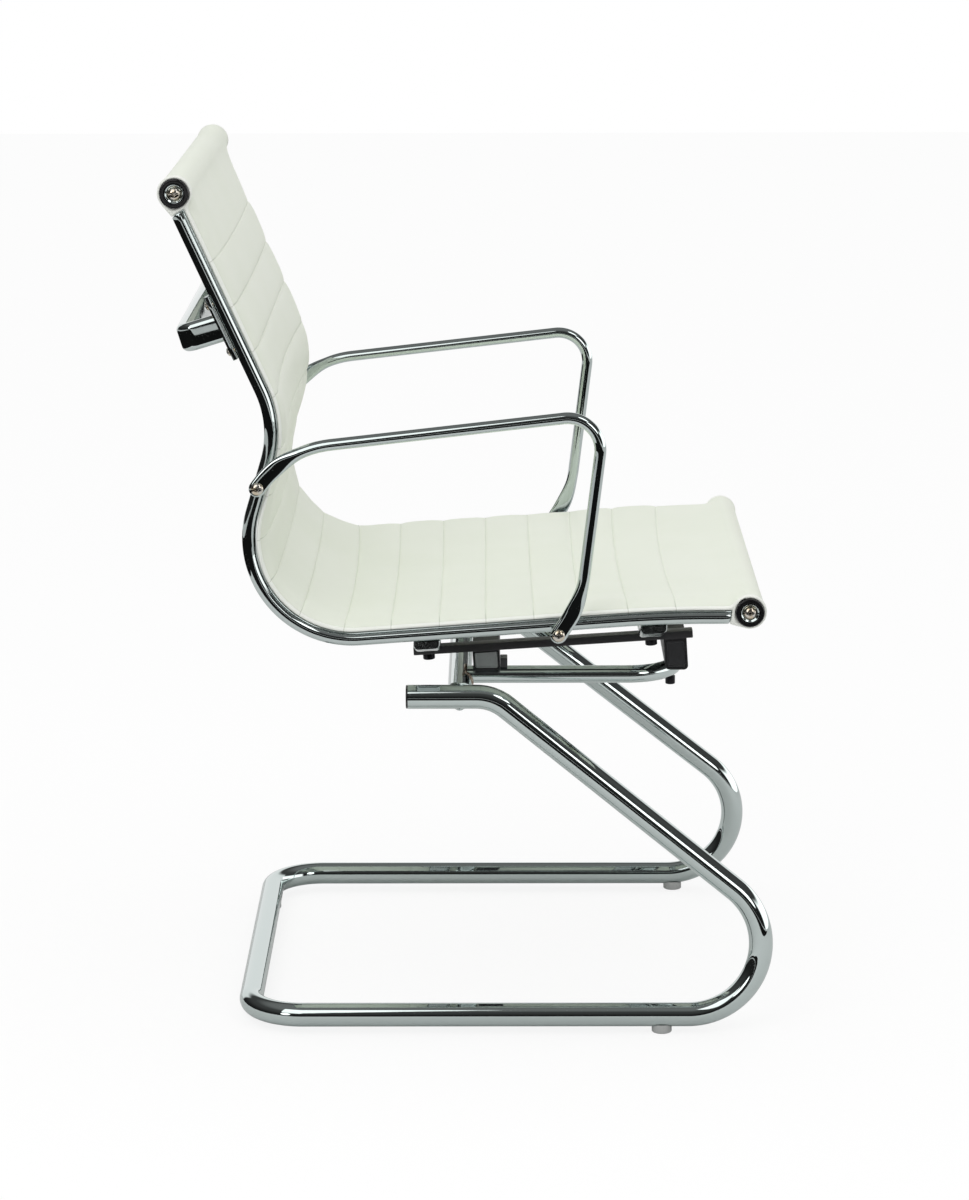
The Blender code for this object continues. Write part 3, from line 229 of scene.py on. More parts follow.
class Finish:
    """A material whose Principled shader takes constants and signals."""

    def __init__(self, name, **constants):
        self.material = bpy.data.materials.new(name)
        self.material.use_nodes = True
        self.tree = self.material.node_tree
        self.shader = self.tree.nodes["Principled BSDF"]
        for socket, value in constants.items():
            self.shader.inputs[socket.replace("_", " ")].default_value = rgba(value)

    def node(self, kind, settings, sockets, output=0):
        """Adds one node: settings first, then the sockets' values or links."""
        made = self.tree.nodes.new(kind)
        for key, value in settings.items():
            setattr(made, key, value)
        for key, value in sockets.items():
            if isinstance(value, Signal):
                self.tree.links.new(value.socket, made.inputs[key])
            else:
                made.inputs[key].default_value = value
        return Signal(self, made.outputs[output])

    def place(self, scale=(1, 1, 1), turn=(0, 0, 0)):
        """Object coordinates, scaled and turned."""
        spot = self.node("ShaderNodeTexCoord", {}, {}, "Object")
        sockets = {"Vector": spot, "Scale": scale, "Rotation": turn}
        return self.node("ShaderNodeMapping", {}, sockets)

    def noise(self, scale, detail=2.0, rough=0.5, stretch=(1, 1, 1), turn=(0, 0, 0)):
        """Soft noise with about `scale` lumps a metre."""
        sockets = {"Vector": self.place(stretch, turn), "Scale": scale}
        sockets |= {"Detail": detail, "Roughness": rough}
        return self.node("ShaderNodeTexNoise", {}, sockets)

    def mix(self, share, first, second):
        """A colour between two colours."""
        sockets = {0: share, 6: rgba(first), 7: rgba(second)}
        return self.node("ShaderNodeMix", {"data_type": "RGBA"}, sockets, 2)

    def feed(self, **signals):
        """Links signals to the shader's sockets."""
        for socket, value in signals.items():
            self.tree.links.new(value.socket, self.shader.inputs[socket.replace("_", " ")])

    def bump(self, height, strength, depth):
        """A Bump node on the shader's Normal."""
        sockets = {"Height": height, "Strength": strength, "Distance": depth}
        self.feed(Normal=self.node("ShaderNodeBump", {}, sockets))


def chrome_plate(name, colour, roughness, smear):
    """Plated steel: a mirror with faint wipe marks and a slight ripple."""
    made = Finish(name, Base_Color=colour, Metallic=1.0)
    wipes = made.noise(38, 5, 0.62, (1, 2.6, 1), (0.3, 0.5, 0.2)).rise(0.45, 0.75)
    specks = made.noise(900, 1).rise(0.66, 0.74)
    made.feed(Roughness=wipes * smear + specks * 0.12 + roughness)
    made.bump(made.noise(26, 1), 0.10, 0.0012)
    return made.material


CHROME = chrome_plate("bright_chrome", (0.550, 0.612, 0.600), 0.020, 0.030)

slant_run = (TOP_RUN_Z - FLOOR_RUN_Z) / tan(SLANT)
sled_line = bent(mirrored([
    (TOP_RUN_REAR_X + PLUG_RIM + GAP, -TOP_HALF_WIDTH, TOP_RUN_Z, 0),
    (TOP_BEND_X, -TOP_HALF_WIDTH, TOP_RUN_Z, 0.050),
    (TOP_BEND_X + slant_run, -SLED_HALF_WIDTH, FLOOR_RUN_Z, 0.0755),
    (REAR_BAR_X, -SLED_HALF_WIDTH, FLOOR_RUN_Z, 0.057),
]))
grid = pipe(sled_line, TUBE_RADIUS, TUBE_WALL)
piece("sled_tube", grid, CHROME, "chrome", "sled_frame", ring=True)

# Black plastic plugs close the two open ends of the base tube: a thin domed
# rim the size of the tube, and a stem pressed into the bore.

SIDES = (("right", -1), ("left", 1))
PLUG_RADIUS = TUBE_RADIUS - 0.0002
STEM_RADIUS = TUBE_RADIUS - TUBE_WALL - 0.0007
STEM_LENGTH = 0.014


def outlined(corners, turn):
    """An outline of (radius, height) points through corners with a rounding."""
    corners = [(radius, 0, height, rounding) for radius, height, rounding in corners]
    return bent(corners, radians(turn))[:, ::2]


def turned(profile, seat, way, sides=48, hexagon=()):
    """A profile of (radius, height) points turned about an axis at a seat.

    Each point goes to seat + radius * (cos a * u + sin a * v) + height * way.
    The rows named in hexagon have their radius over cos(a - nearest flat's
    middle), which makes them a six-sided socket.
    """
    profile = np.array(profile, float)
    way = unit(np.array(way, float))
    u = unit(np.cross(way, (0.31, 0.52, 0.79)))
    v = np.cross(way, u)
    a = np.linspace(0, tau, sides, endpoint=False)
    radius = np.repeat(profile[:, :1], sides, axis=1)
    flat = np.cos(pi / 6) / np.cos((a % (pi / 3)) - pi / 6)
    for row in hexagon:
        radius[row] *= flat
    ring = np.cos(a)[:, None] * u + np.sin(a)[:, None] * v
    return np.array(seat) + radius[..., None] * ring + profile[:, 1, None, None] * way


def moulded(name, colour, roughness, grain, depth=0.0002):
    """Moulded plastic or paint: a fine grain that also breaks the gloss."""
    made = Finish(name, Base_Color=colour)
    speck = made.noise(grain, 3, 0.6)
    dark = tuple(part * 0.72 for part in colour)
    tone = made.mix(made.noise(45, 3), dark, colour)
    made.feed(Base_Color=tone, Roughness=speck * 0.2 + (roughness - 0.1))
    made.bump(speck, 0.35, depth)
    return made.material


BLACK_PLASTIC = moulded("satin_black_plastic", (0.012, 0.012, 0.013), 0.28, 1400, 0.0001)
plug_outline = outlined([
    (0, PLUG_RIM, 0),
    (PLUG_RADIUS, PLUG_RIM - 0.0002, 0.0012),
    (PLUG_RADIUS, 0, 0.0002),
    (STEM_RADIUS, 0, 0),
    (STEM_RADIUS, -STEM_LENGTH, 0.001),
    (0, -STEM_LENGTH, 0),
], 15)
for side_name, side in SIDES:
    seat = (TOP_RUN_REAR_X + PLUG_RIM, side * TOP_HALF_WIDTH, TOP_RUN_Z)
    grid = turned(plug_outline, seat, (-1, 0, 0))
    piece("plug_" + side_name, grid, BLACK_PLASTIC, "black_plastic", "tube_plug_" + side_name)

# Four clear grey plastic glides keep the chrome off the floor. Each is a disc
# with a hollow that cups the tube, held by a peg in a hole in the tube.

GLIDE_RADIUS = 0.0105
GLIDE_HEIGHT = 0.0095
GLIDE_REAR_Y = 0.175
GLIDE_PLACES = {
    "glide_front_right": (0.19675, -SLED_HALF_WIDTH),
    "glide_front_left": (0.23095, SLED_HALF_WIDTH),
    "glide_rear_right": (REAR_BAR_X, -GLIDE_REAR_Y),
    "glide_rear_left": (REAR_BAR_X, GLIDE_REAR_Y),
}
GLIDE_PLASTIC = moulded("grey_glide_plastic", (0.58, 0.59, 0.58), 0.3, 700)


def cope(height, radius):
    """A round's half width at a height off its axis: sqrt(radius^2 - height^2)."""
    return np.sqrt(np.maximum(radius**2 - height**2, 0))


glide_outline = outlined([
    (0, 0, 0),
    (GLIDE_RADIUS, 0, 0.0014),
    (GLIDE_RADIUS, GLIDE_HEIGHT, 0.0006),
    (0, GLIDE_HEIGHT, 0),
], 20)
inward = np.linspace(GLIDE_RADIUS - 0.0006, 0, 9)[1:]
glide_top = np.stack([inward, np.full(len(inward), GLIDE_HEIGHT)], -1)
glide_outline = np.concatenate([glide_outline[:-1], glide_top])
for name, (x, y) in GLIDE_PLACES.items():
    grid = turned(glide_outline, (x, y, 0), (0, 0, 1), 40)
    # The top follows the tube: no point is nearer its axis than its radius.
    off = grid[..., 0] - x if "rear" in name else grid[..., 1] - y
    grid[..., 2] = np.minimum(grid[..., 2], FLOOR_RUN_Z - cope(off, TUBE_RADIUS + 0.0002))
    piece(name + "_disc", grid, GLIDE_PLASTIC, "glide_plastic", name)

# A tube of the same size joins the two top runs. Its ends are cut to the
# curve of the runs, and a weld bead goes round each before the plating.

CROSS_TUBE_X = -0.014
WELD_WIDTH = 0.0021
BEAD_SPREAD = 1.06
SIDEWAYS = np.array([0.0, 1.0, 0.0])


def weld_bead(name, line, normals, width, ripples, finish, slot):
    """A bead round a joint: a ring of radius width * (1 + 0.16 |sin|), with
    half a wave to a ripple."""
    turns = np.linspace(0, ripples * pi, len(line), endpoint=False)
    swell = 1 + 0.16 * np.abs(np.sin(turns))
    way = unit(np.roll(line, -1, 0) - np.roll(line, 1, 0))
    across = unit(np.cross(way, normals))
    section = circle(width, 14) * swell[:, None, None]
    grid = carried(line, section, across, np.cross(way, across))
    piece(name, grid, finish, slot, ring=True)


a = np.linspace(0, tau, 72, endpoint=False)
normals = np.stack([np.sin(a), np.zeros(72), np.cos(a)], -1)
ring = normals * TUBE_RADIUS
middle = np.array([CROSS_TUBE_X, 0, TOP_RUN_Z])
reach = (TOP_HALF_WIDTH - cope(ring[:, 2], TUBE_RADIUS))[:, None]
grid = np.array([middle + ring + share * reach * SIDEWAYS for share in (-1, -0.9, 0, 0.9, 1)])
piece("cross_member", grid, CHROME, "chrome", "cross_tube")
for side_name, side in SIDES:
    line = middle + ring * BEAD_SPREAD + side * (reach - 0.0004) * SIDEWAYS
    name = "weld_cross_" + side_name
    weld_bead(name, line, normals, WELD_WIDTH * 0.8, 24, CHROME, "chrome")

# A thinner tube, bent into a U, runs forward from the cross tube under the
# seat. It is welded on where its cut ends meet the front of the cross tube.

HOOP_Z = 0.362
HOOP_RADIUS = 0.00925
HOOP_HALF_WIDTH = 0.1555
HOOP_FRONT_X = 0.212
HOOP_CORNER_RADIUS = 0.050
hoop_line = bent(mirrored([
    (CROSS_TUBE_X + 0.013, -HOOP_HALF_WIDTH, HOOP_Z, 0),
    (HOOP_FRONT_X, -HOOP_HALF_WIDTH, HOOP_Z, HOOP_CORNER_RADIUS),
]))
grid = pipe(hoop_line, HOOP_RADIUS, sides=44, lean=(0, 0, 1))
for row in (0, -1):
    front = cope(grid[row, :, 2] - TOP_RUN_Z, TUBE_RADIUS) - 0.0004
    grid[row, :, 0] = CROSS_TUBE_X + np.maximum(front, 0.0055)
piece("hoop_tube", grid, CHROME, "chrome", "support_hoop")


def weld_tint(name):
    """Weld metal under thin plating: rough, warm and a little rusty."""
    made = Finish(name, Metallic=1.0)
    stain = made.noise(420, 4, 0.7).rise(0.42, 0.66)
    tone = made.mix(stain, (0.42, 0.37, 0.31), (0.17, 0.075, 0.035))
    made.feed(Base_Color=tone, Roughness=stain * 0.35 + 0.25)
    made.bump(made.noise(900, 3), 0.6, 0.0004)
    return made.material


WELD_METAL = weld_tint("weld_metal")
a = np.linspace(0, tau, 48, endpoint=False)
normals = np.stack([np.zeros(48), np.cos(a), np.sin(a)], -1)
for side_name, side in SIDES:
    line = np.array([CROSS_TUBE_X, side * HOOP_HALF_WIDTH, HOOP_Z])
    line = line + normals * HOOP_RADIUS * BEAD_SPREAD
    line[:, 0] += np.maximum(cope(line[:, 2] - TOP_RUN_Z, TUBE_RADIUS), 0.0058)
    name = "weld_hoop_" + side_name
    weld_bead(name, line, normals, WELD_WIDTH * 0.75, 18, WELD_METAL, "steel")

# Two box-section steel beams, painted satin black, lie across the hoop and
# carry the seat bars. Their tops slope with the bars, and plastic plugs close
# their ends.

BAR_SLOPE = radians(3.68)
BAR_LEVEL_X = 0.013
BAR_LEVEL_Z = 0.393
BAR_HEIGHT = 0.008
BAR_WIDTH = 0.016
BAR_Y = 0.172
BEAM_HALF_LENGTH = 0.176
BEAM_WALL = 0.002
BAR_WAY = np.array([cos(BAR_SLOPE), 0, sin(BAR_SLOPE)])
BAR_UP = np.array([-sin(BAR_SLOPE), 0, cos(BAR_SLOPE)])


def bar_line(x, lift=0.0):
    """A point on the seat bars' underside at x, or a height above it."""
    return np.array([x, 0, BAR_LEVEL_Z + (x - BAR_LEVEL_X) * tan(BAR_SLOPE)]) + BAR_UP * lift


def beam_section(x, width, inset, corner):
    """The beam's outline: top along the bars, sides square to it, level base."""
    base = HOOP_Z + HOOP_RADIUS + GAP + inset
    half = BAR_WAY * (width / 2 - inset)
    top = [bar_line(x, -GAP - inset) - half, bar_line(x, -GAP - inset) + half]
    low = [edge - BAR_UP * ((edge[2] - base) / BAR_UP[2]) for edge in top]
    start = (top[0] + low[0]) / 2
    loop = [start, top[0], top[1], low[1], low[0], start]
    rounds = [0, 0.0012, 0.0012, corner, corner, 0]
    return bent([(*spot, r) for spot, r in zip(loop, rounds)], radians(15))[:-1]


def along_y(outline, *stations):
    """An XZ outline repeated at distances along Y, scaled about its middle."""
    middle = outline.mean(axis=0)
    return np.array([middle + (outline - middle) * scale + SIDEWAYS * y for y, scale in stations])


BLACK_PAINT = moulded("satin_black_paint", (0.018, 0.018, 0.020), 0.38, 800, 0.0003)
# The beam plugs are one plastic in a lit and a shaded copy. The rear plugs are painted lighter
# than the plastic, as painted light for the shade under the seat. The front plugs are painted near
# black, as painted shade.
LIT_REAR_PLUG_PLASTIC = moulded("grey_plug_plastic", (0.33, 0.35, 0.35), 0.30, 600, 0.0003)
SHADED_FRONT_PLUG_PLASTIC = moulded("front_plug_plastic_painted_shade", (0.030, 0.031, 0.034), 0.38, 600, 0.0003)
BEAMS = (
    ("rear", 0.013, 0.028, LIT_REAR_PLUG_PLASTIC),
    ("front", 0.2105, 0.024, SHADED_FRONT_PLUG_PLASTIC),
)
PLUG_STEPS = ((0.168, 1), (0.1752, 1), (0.1759, 0.965), (0.1759, 0.84), (0.1753, 0.80))
for place, x, width, plug_finish in BEAMS:
    outer = beam_section(x, width, 0, 0.0045)
    inner = beam_section(x, width, BEAM_WALL, 0.0025)
    end = BEAM_HALF_LENGTH
    shell = along_y(outer, (-end, 0.985), (-end + 0.0005, 1), (end - 0.0005, 1), (end, 0.985))
    grid = np.concatenate([shell, along_y(inner, (end, 1), (-end, 1))])
    piece(place + "_box_beam", grid, BLACK_PAINT, "black_paint", place + "_beam", ring=True)
    closed = beam_section(x, width, BEAM_WALL + GAP / 2, 0.0024)
    for side_name, side in SIDES:
        suffix = place + "_" + side_name
        grid = along_y(closed, *((side * y, scale) for y, scale in PLUG_STEPS))
        piece("plug_" + suffix, grid, plug_finish, "grey_plastic", "beam_plug_" + suffix)

# Small steel blocks welded to the hoop stop the rear beam from creeping
# forward. They are sawn from flat bar and painted with the beam.

LUG_LENGTH = 0.0075
LUG_HEIGHT = 0.0098
LUG_STEEL = moulded("dark_lug_steel", (0.075, 0.077, 0.080), 0.36, 500, 0.0003)
square = np.array([(-1, 0, -1), (1, 0, -1), (1, 0, 1), (-1, 0, 1)])
for side_name, side in SIDES:
    node = "hoop_lug_" + side_name
    low, high = (np.array(corner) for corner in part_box(node))
    outline = (low + high) / 2 * [1, 0, 1] + square * [LUG_LENGTH / 2, 0, LUG_HEIGHT / 2]
    grid = along_y(outline, (low[1], 1), (high[1], 1))
    piece("lug_" + side_name, grid, LUG_STEEL, "steel", node, bevel=0.0008)

# Flat steel bars run fore and aft over the beams. Black socket-head bolts come
# up through them into the polished spreader strips.

BAR_REAR_X = -0.062
BAR_FRONT_X = 0.229
END_SHRINK = 0.93
BOLT_SHANK_RADIUS = 0.003
SPREADER_X = {"rear": -0.0465, "front": 0.1855}
HOOP_BOLT_Y = 0.1245
BLACK_STEEL = chrome_plate("blackened_steel", (0.022, 0.022, 0.024), 0.30, 0.12)


def rounded_box(width, height, radius, steps=6):
    """A ring of (across, out) points: corner centres plus radius * (cos a, sin a)."""
    a = np.concatenate([q * pi / 2 + np.linspace(0, pi / 2, steps) for q in range(4)])
    way_x = np.repeat([1, -1, -1, 1], steps)
    way_y = np.repeat([1, 1, -1, -1], steps)
    across = way_x * (width / 2 - radius) + radius * np.cos(a)
    out = way_y * (height / 2 - radius) + radius * np.sin(a)
    return np.stack([across, out], -1)


def socket_bolt(name, seat, way, radius, height, reach, node):
    """A black cap bolt: plain round head, eased edge, hexagon socket."""
    profile = [
        (0, height * 0.45),
        (radius * 0.48, height * 0.45),
        (radius * 0.48, height),
        (radius * 0.86, height),
        (radius * 0.97, height - radius * 0.06),
        (radius, height - radius * 0.16),
        (radius, 0),
        (BOLT_SHANK_RADIUS, 0),
        (BOLT_SHANK_RADIUS, -reach),
        (0, -reach),
    ]
    grid = turned(profile, seat, way, 42, hexagon=(1, 2))
    piece(name, grid, BLACK_STEEL, "black_steel", node)


ease = BAR_WAY * 0.0008
eased = np.array([END_SHRINK, 1, 1, END_SHRINK])[:, None, None]
bar_section = rounded_box(BAR_WIDTH, BAR_HEIGHT, 0.0009) * eased
for side_name, side in SIDES:
    rear, front = (bar_line(x, BAR_HEIGHT / 2) for x in (BAR_REAR_X, BAR_FRONT_X))
    line = np.array([rear, rear + ease, front - ease, front]) + SIDEWAYS * side * BAR_Y
    grid = carried(line, bar_section, SIDEWAYS, BAR_UP)
    piece("bar_" + side_name, grid, BLACK_PAINT, "black_steel", "seat_bar_" + side_name)
for side_name, side in SIDES:
    for place, x in SPREADER_X.items():
        seat = bar_line(x, -GAP) + SIDEWAYS * side * BAR_Y
        suffix = place + "_" + side_name
        name, node = "cap_bolt_" + suffix, "bar_bolt_" + suffix
        socket_bolt(name, seat, -BAR_UP, 0.00625, 0.006, 0.0144, node)
    out_y = HOOP_BOLT_Y - (HOOP_HALF_WIDTH - HOOP_CORNER_RADIUS)
    bolt_x = HOOP_FRONT_X - HOOP_CORNER_RADIUS + cope(out_y, HOOP_CORNER_RADIUS)
    seat = (bolt_x, side * HOOP_BOLT_Y, HOOP_Z - HOOP_RADIUS - GAP)
    name, node = "cap_bolt_hoop_" + side_name, "hoop_bolt_" + side_name
    socket_bolt(name, seat, (0, 0, -1), 0.0052, 0.0085, 0.0273, node)

# Two polished cast strips tie the side rails together under the seat. Each
# lies flat on the bars and turns up at its ends to meet the rails.

SPREADER_THICKNESS = 0.0085
SPREADER_HALF_WIDTH = 0.0135
CAST_ALLOY = chrome_plate("cast_alloy", (0.52, 0.56, 0.555), 0.15, 0.06)
RAIL_HEIGHT = 0.014
RAIL_CORNERS = (
    (-0.3004, 0, 0.8779, 0),
    (-0.1959, 0, 0.6461, 0.1048),
    (-0.2657, 0, 0.4138, 0.1039),
    (0.1935, 0, 0.4466, 1.330),
    (0.2823, 0, 0.4466, 0),
)
rail_line = bent(RAIL_CORNERS, radians(0.5))
seat_part = rail_line[rail_line[:, 2] < 0.5]
seat_part = seat_part[np.argmin(seat_part[:, 2]) :]
strip_section = outlined([
    (0, 0, 0),
    (SPREADER_HALF_WIDTH, 0, 0.0045),
    (SPREADER_HALF_WIDTH, SPREADER_THICKNESS, 0.0006),
    (-SPREADER_HALF_WIDTH, SPREADER_THICKNESS, 0.0006),
    (-SPREADER_HALF_WIDTH, 0, 0.0045),
    (0, 0, 0),
], 10)[:-1]
ease = SIDEWAYS * 0.0010
for place, x in SPREADER_X.items():
    low = bar_line(x, BAR_HEIGHT + GAP)
    rail_under = np.interp(x, seat_part[:, 0], seat_part[:, 2]) - RAIL_HEIGHT / 2 / BAR_UP[2]
    step = rail_under - 2 * GAP - SPREADER_THICKNESS / BAR_UP[2] - low[2]
    half = [(0, -0.256, step, 0), (0, -0.234, step, 0.014), (0, -0.200, 0, 0.014)]
    line = bent(mirrored(half), radians(5))
    line = np.concatenate([line[:1], line[:1] + ease, line[1:-1], line[-1:] - ease, line[-1:]])
    middle = np.array([0, SPREADER_THICKNESS / 2])
    scales = np.ones((len(line), 1, 1))
    scales[[0, -1]] = END_SHRINK
    section = middle + (strip_section - middle) * scales
    way = ways(line)
    up = np.stack([np.zeros(len(way)), -way[:, 2], way[:, 1]], -1) / way[:, 1:2]
    grid = carried(low + line, section, BAR_WAY, up)
    piece(place + "_strip", grid, CAST_ALLOY, "chrome", "spreader_" + place)

# The side rails are S-shaped bars of polished alloy with a rounded outer face,
# one per side, and a narrow lip along the edge that the sling's hem lies on.
# A tab at each end takes the screw of the roll.

RAIL_OUTER_Y = 0.260
RAIL_BULGE = 0.0055
RAIL_END_STOP = 0.026
ROLL_OFFSET = 0.006
ROLL_TUBE_RADIUS = 0.014
LOOP_THICKNESS = 0.0032
LOOP_OUTER = ROLL_TUBE_RADIUS + GAP + LOOP_THICKNESS
RAIL_CLEAR = 0.0007
TAIL_END = radians(282.1)
TAB_RADIUS = 0.008
POLISHED_ALLOY = chrome_plate("polished_alloy", (0.535, 0.590, 0.580), 0.030, 0.040)

# The rail's section as (height, y): the bulging outer face, the bevel above
# it, the lip beside the hem, and the flat inner side.
a = np.linspace(-pi / 2, radians(18), 22)
bulge = [RAIL_HEIGHT / 2 * np.sin(a), RAIL_OUTER_Y - RAIL_BULGE + RAIL_BULGE * np.cos(a)]
RAIL_SECTION = np.concatenate([
    np.stack(bulge, -1),
    [(0.0026, 0.2595), (0.0031, 0.2591), (0.0038, 0.2585)],
    [(0.0046, 0.2578), (0.0050, 0.2572), (0.0051, 0.2560)],
    [(0.0055, 0.2560), (0.0057, 0.2572), (0.0061, 0.2575), (0.0066, 0.2573), (0.0070, 0.2566)],
    [(0.0070, 0.2510), (0.0066, 0.2502), (0.0060, 0.2500)],
    [(-0.0060, 0.2500), (-0.0066, 0.2502), (-0.0070, 0.2510)],
])


def gone_along(line):
    """The length of the line up to each of its points."""
    return np.concatenate([[0], np.cumsum(np.linalg.norm(np.diff(line, axis=0), axis=1))])


def spaced(line, pitch):
    """The line measured off again at an even pitch near the one given."""
    gone = gone_along(line)
    at = np.linspace(0, gone[-1], max(2, ceil(gone[-1] / pitch) + 1))
    return np.stack([np.interp(at, gone, line[:, k]) for k in range(3)], -1), at


def sitter_side(way):
    """The unit vector square to each direction in the XZ plane, up or forward."""
    return np.stack([-way[..., 2], np.zeros(way.shape[:-1]), way[..., 0]], -1)


rail_even, rail_at = spaced(rail_line, 0.004)
rail_total = rail_at[-1]
rail_run = rail_even[(rail_at > RAIL_END_STOP) & (rail_at < rail_total - RAIL_END_STOP)]


def roll_place(index, sign):
    """A roll's centre, the rail's sitter-side normal and the way off its end."""
    way = ways(rail_even)[index]
    normal = sitter_side(way)
    return rail_even[index] + normal * ROLL_OFFSET, normal, way * sign


ROLLS = {"top": roll_place(0, -1), "front": roll_place(-1, 1)}


def cut_end(ring, roll, short, scale):
    """A rail's end ring, slid along the rail to the plane of the wrap's tail."""
    centre, normal, away = roll
    face = normal * cos(TAIL_END) + away * sin(TAIL_END)
    middle = ring.mean(axis=0)
    ring = middle + (ring - middle) * scale
    slide = (LOOP_OUTER + RAIL_CLEAR + short - (ring - centre) @ face) / (away @ face)
    return (ring + slide[:, None] * away)[None]


END_CUTS = ((0, END_SHRINK), (0.0005, 1))
lean = np.linspace(radians(75), -radians(75), 14)[:, None]
for side_name, side in SIDES:
    grid = carried(rail_run, RAIL_SECTION * [1, side], sitter_side(ways(rail_run)), SIDEWAYS)
    top_end = [cut_end(grid[0], ROLLS["top"], *cut) for cut in END_CUTS]
    front_end = [cut_end(grid[-1], ROLLS["front"], *cut) for cut in END_CUTS[::-1]]
    grid = np.concatenate([*top_end, grid, *front_end])
    node = "side_rail_" + side_name
    piece("rail_" + side_name, grid, POLISHED_ALLOY, "polished_alloy", node, sharp=50)
    for place, (centre, normal, away) in ROLLS.items():
        root = centre - normal * ROLL_OFFSET - away * 0.030
        rim = centre + TAB_RADIUS * (np.sin(lean) * normal + np.cos(lean) * away)
        outline = np.concatenate([[root + normal * 0.006], rim, [root - normal * 0.006]])
        grid = along_y(outline, (side * 0.2525, 1), (side * 0.2555, 1))
        piece("tab_" + place + "_" + side_name, grid, POLISHED_ALLOY, "polished_alloy")

# Each roll end is closed by a glossy black cap, a chromed cup washer and a
# steel dome screw that goes through the rail's tab into the roll's tube.

CAP_SEAT_Y = 0.2595
CAP_RADIUS = 0.0147
CAP_RIM = 0.0042
CAP_WELL_RADIUS = 0.0102
CAP_WELL_FLOOR = 0.0016
CAP_STEM_RADIUS = 0.0132
CAP_STEM_LENGTH = 0.0040
HOLE_RADIUS = 0.0029
WASHER_THICKNESS = 0.0008
WASHER_HEIGHT = 0.0029
SCREW_RADIUS = 0.0064
SCREW_SHANK_RADIUS = 0.0025
BLACK_GLOSS = moulded("glossy_black_plastic", (0.010, 0.010, 0.011), 0.14, 300, 0.00005)


def plain_steel(name, colour, roughness):
    """Turned steel with a warm film and short scratches."""
    made = Finish(name, Metallic=1.0)
    scratch = made.noise(700, 4, 0.7, (1, 6, 1), (0.4, 0.2, 0.9)).rise(0.5, 0.8)
    warm = tuple(part * tone for part, tone in zip(colour, (1.0, 0.86, 0.66)))
    film = made.mix(made.noise(160, 3).rise(0.35, 0.7), colour, warm)
    made.feed(Base_Color=film, Roughness=scratch * 0.25 + roughness)
    made.bump(scratch, 0.2, 0.0001)
    return made.material


STEEL = plain_steel("warm_steel", (0.62, 0.60, 0.56), 0.16)


def dome(radius, height, first, last, steps):
    """A dome's outline: radius * sin a and height * cos a between two leans."""
    lean = np.radians(np.linspace(first, last, steps))
    return np.stack([radius * np.sin(lean), height * np.cos(lean)], -1)


def dome_screw(name, seat, way, reach, node):
    """A dome-head screw with a hexagon socket."""
    head = dome(SCREW_RADIUS, 0.0034, 18, 84, 12)
    hole = head[0, 0]
    profile = np.concatenate([
        [(0, 0.0014), (hole * 0.9, 0.0014), (hole * 0.97, 0.0031)],
        head,
        [(SCREW_RADIUS, 0.0002), (SCREW_RADIUS, 0), (SCREW_SHANK_RADIUS, 0)],
        [(SCREW_SHANK_RADIUS, -reach), (0, -reach)],
    ])
    grid = turned(profile, seat, way, 48, hexagon=(1, 2))
    piece(name, grid, STEEL, "steel", node, sharp=45)


cap_outline = outlined([
    (HOLE_RADIUS, -CAP_STEM_LENGTH, 0),
    (CAP_STEM_RADIUS, -CAP_STEM_LENGTH, 0),
    (CAP_STEM_RADIUS, 0.0001, 0),
    (CAP_RADIUS, 0.0001, 0.0004),
    (CAP_RADIUS, CAP_RIM, 0.0013),
    (CAP_WELL_RADIUS, CAP_RIM, 0.0007),
    (CAP_WELL_RADIUS, CAP_WELL_FLOOR, 0.0003),
    (HOLE_RADIUS, CAP_WELL_FLOOR, 0),
], 12)
washer_outline = outlined([
    (HOLE_RADIUS, 0, 0),
    (0.0066, 0, 0.0008),
    (0.0098, WASHER_HEIGHT, 0.0003),
    (0.0090, WASHER_HEIGHT, 0.0003),
    (0.0062, WASHER_THICKNESS, 0.0006),
    (HOLE_RADIUS, WASHER_THICKNESS, 0),
], 12)
for place, (centre, normal, away) in ROLLS.items():
    for side_name, side in SIDES:
        suffix = "_" + place + "_" + side_name
        out = SIDEWAYS * side
        seat = centre + out * (CAP_SEAT_Y + GAP)
        grid = turned(cap_outline, seat, out, 64)
        piece("cap" + suffix, grid, BLACK_GLOSS, "black_plastic", "end_cap" + suffix, ring=True)
        seat = seat + out * (CAP_WELL_FLOOR + GAP)
        grid = turned(washer_outline, seat, out, 56)
        piece("washer" + suffix, grid, CHROME, "chrome", "cap_washer" + suffix, ring=True)
        seat = seat + out * (WASHER_THICKNESS + GAP)
        dome_screw("screw" + suffix, seat, out, 0.014, "cap_screw" + suffix)
for place in ROLLS:
    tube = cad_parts[place + "_roll_tube"]
    tube.data.materials.clear()
    tube.data.materials.append(STEEL)

# The sling is the seat and back in one: a thin foam between two layers of
# ivory leatherette, sewn across into ribs, hemmed along the rails, and looped
# round the roll at each end.

HEM_HALF_WIDTH = 0.258
PANEL_EDGE_Y = 0.2495
PANEL_EDGE_RUN = 0.0235
STITCH_Y = 0.2497
LOOP_HALF_WIDTH = 0.2595
LOOP_INNER = ROLL_TUBE_RADIUS + GAP / 2
LOOP_LEAVE = radians(16)
LOOP_DIP = 0.0013
TAIL_START = radians(194.7)
HEM_LEAVE = radians(50)
REST = RAIL_HEIGHT / 2 + 0.0006
HEM = REST + 0.0034
SEAM_FIRST = 0.0767
SEAM_PITCH = 0.0495
SEAM_COUNT = 17
SEAMS = SEAM_FIRST + SEAM_PITCH * np.arange(SEAM_COUNT)
GROOVE_WIDTH = 0.0010
RIB_CROWN = 0.0021
RIB_BACK_CROWN = 0.0018
RAMP_EASE = 0.005

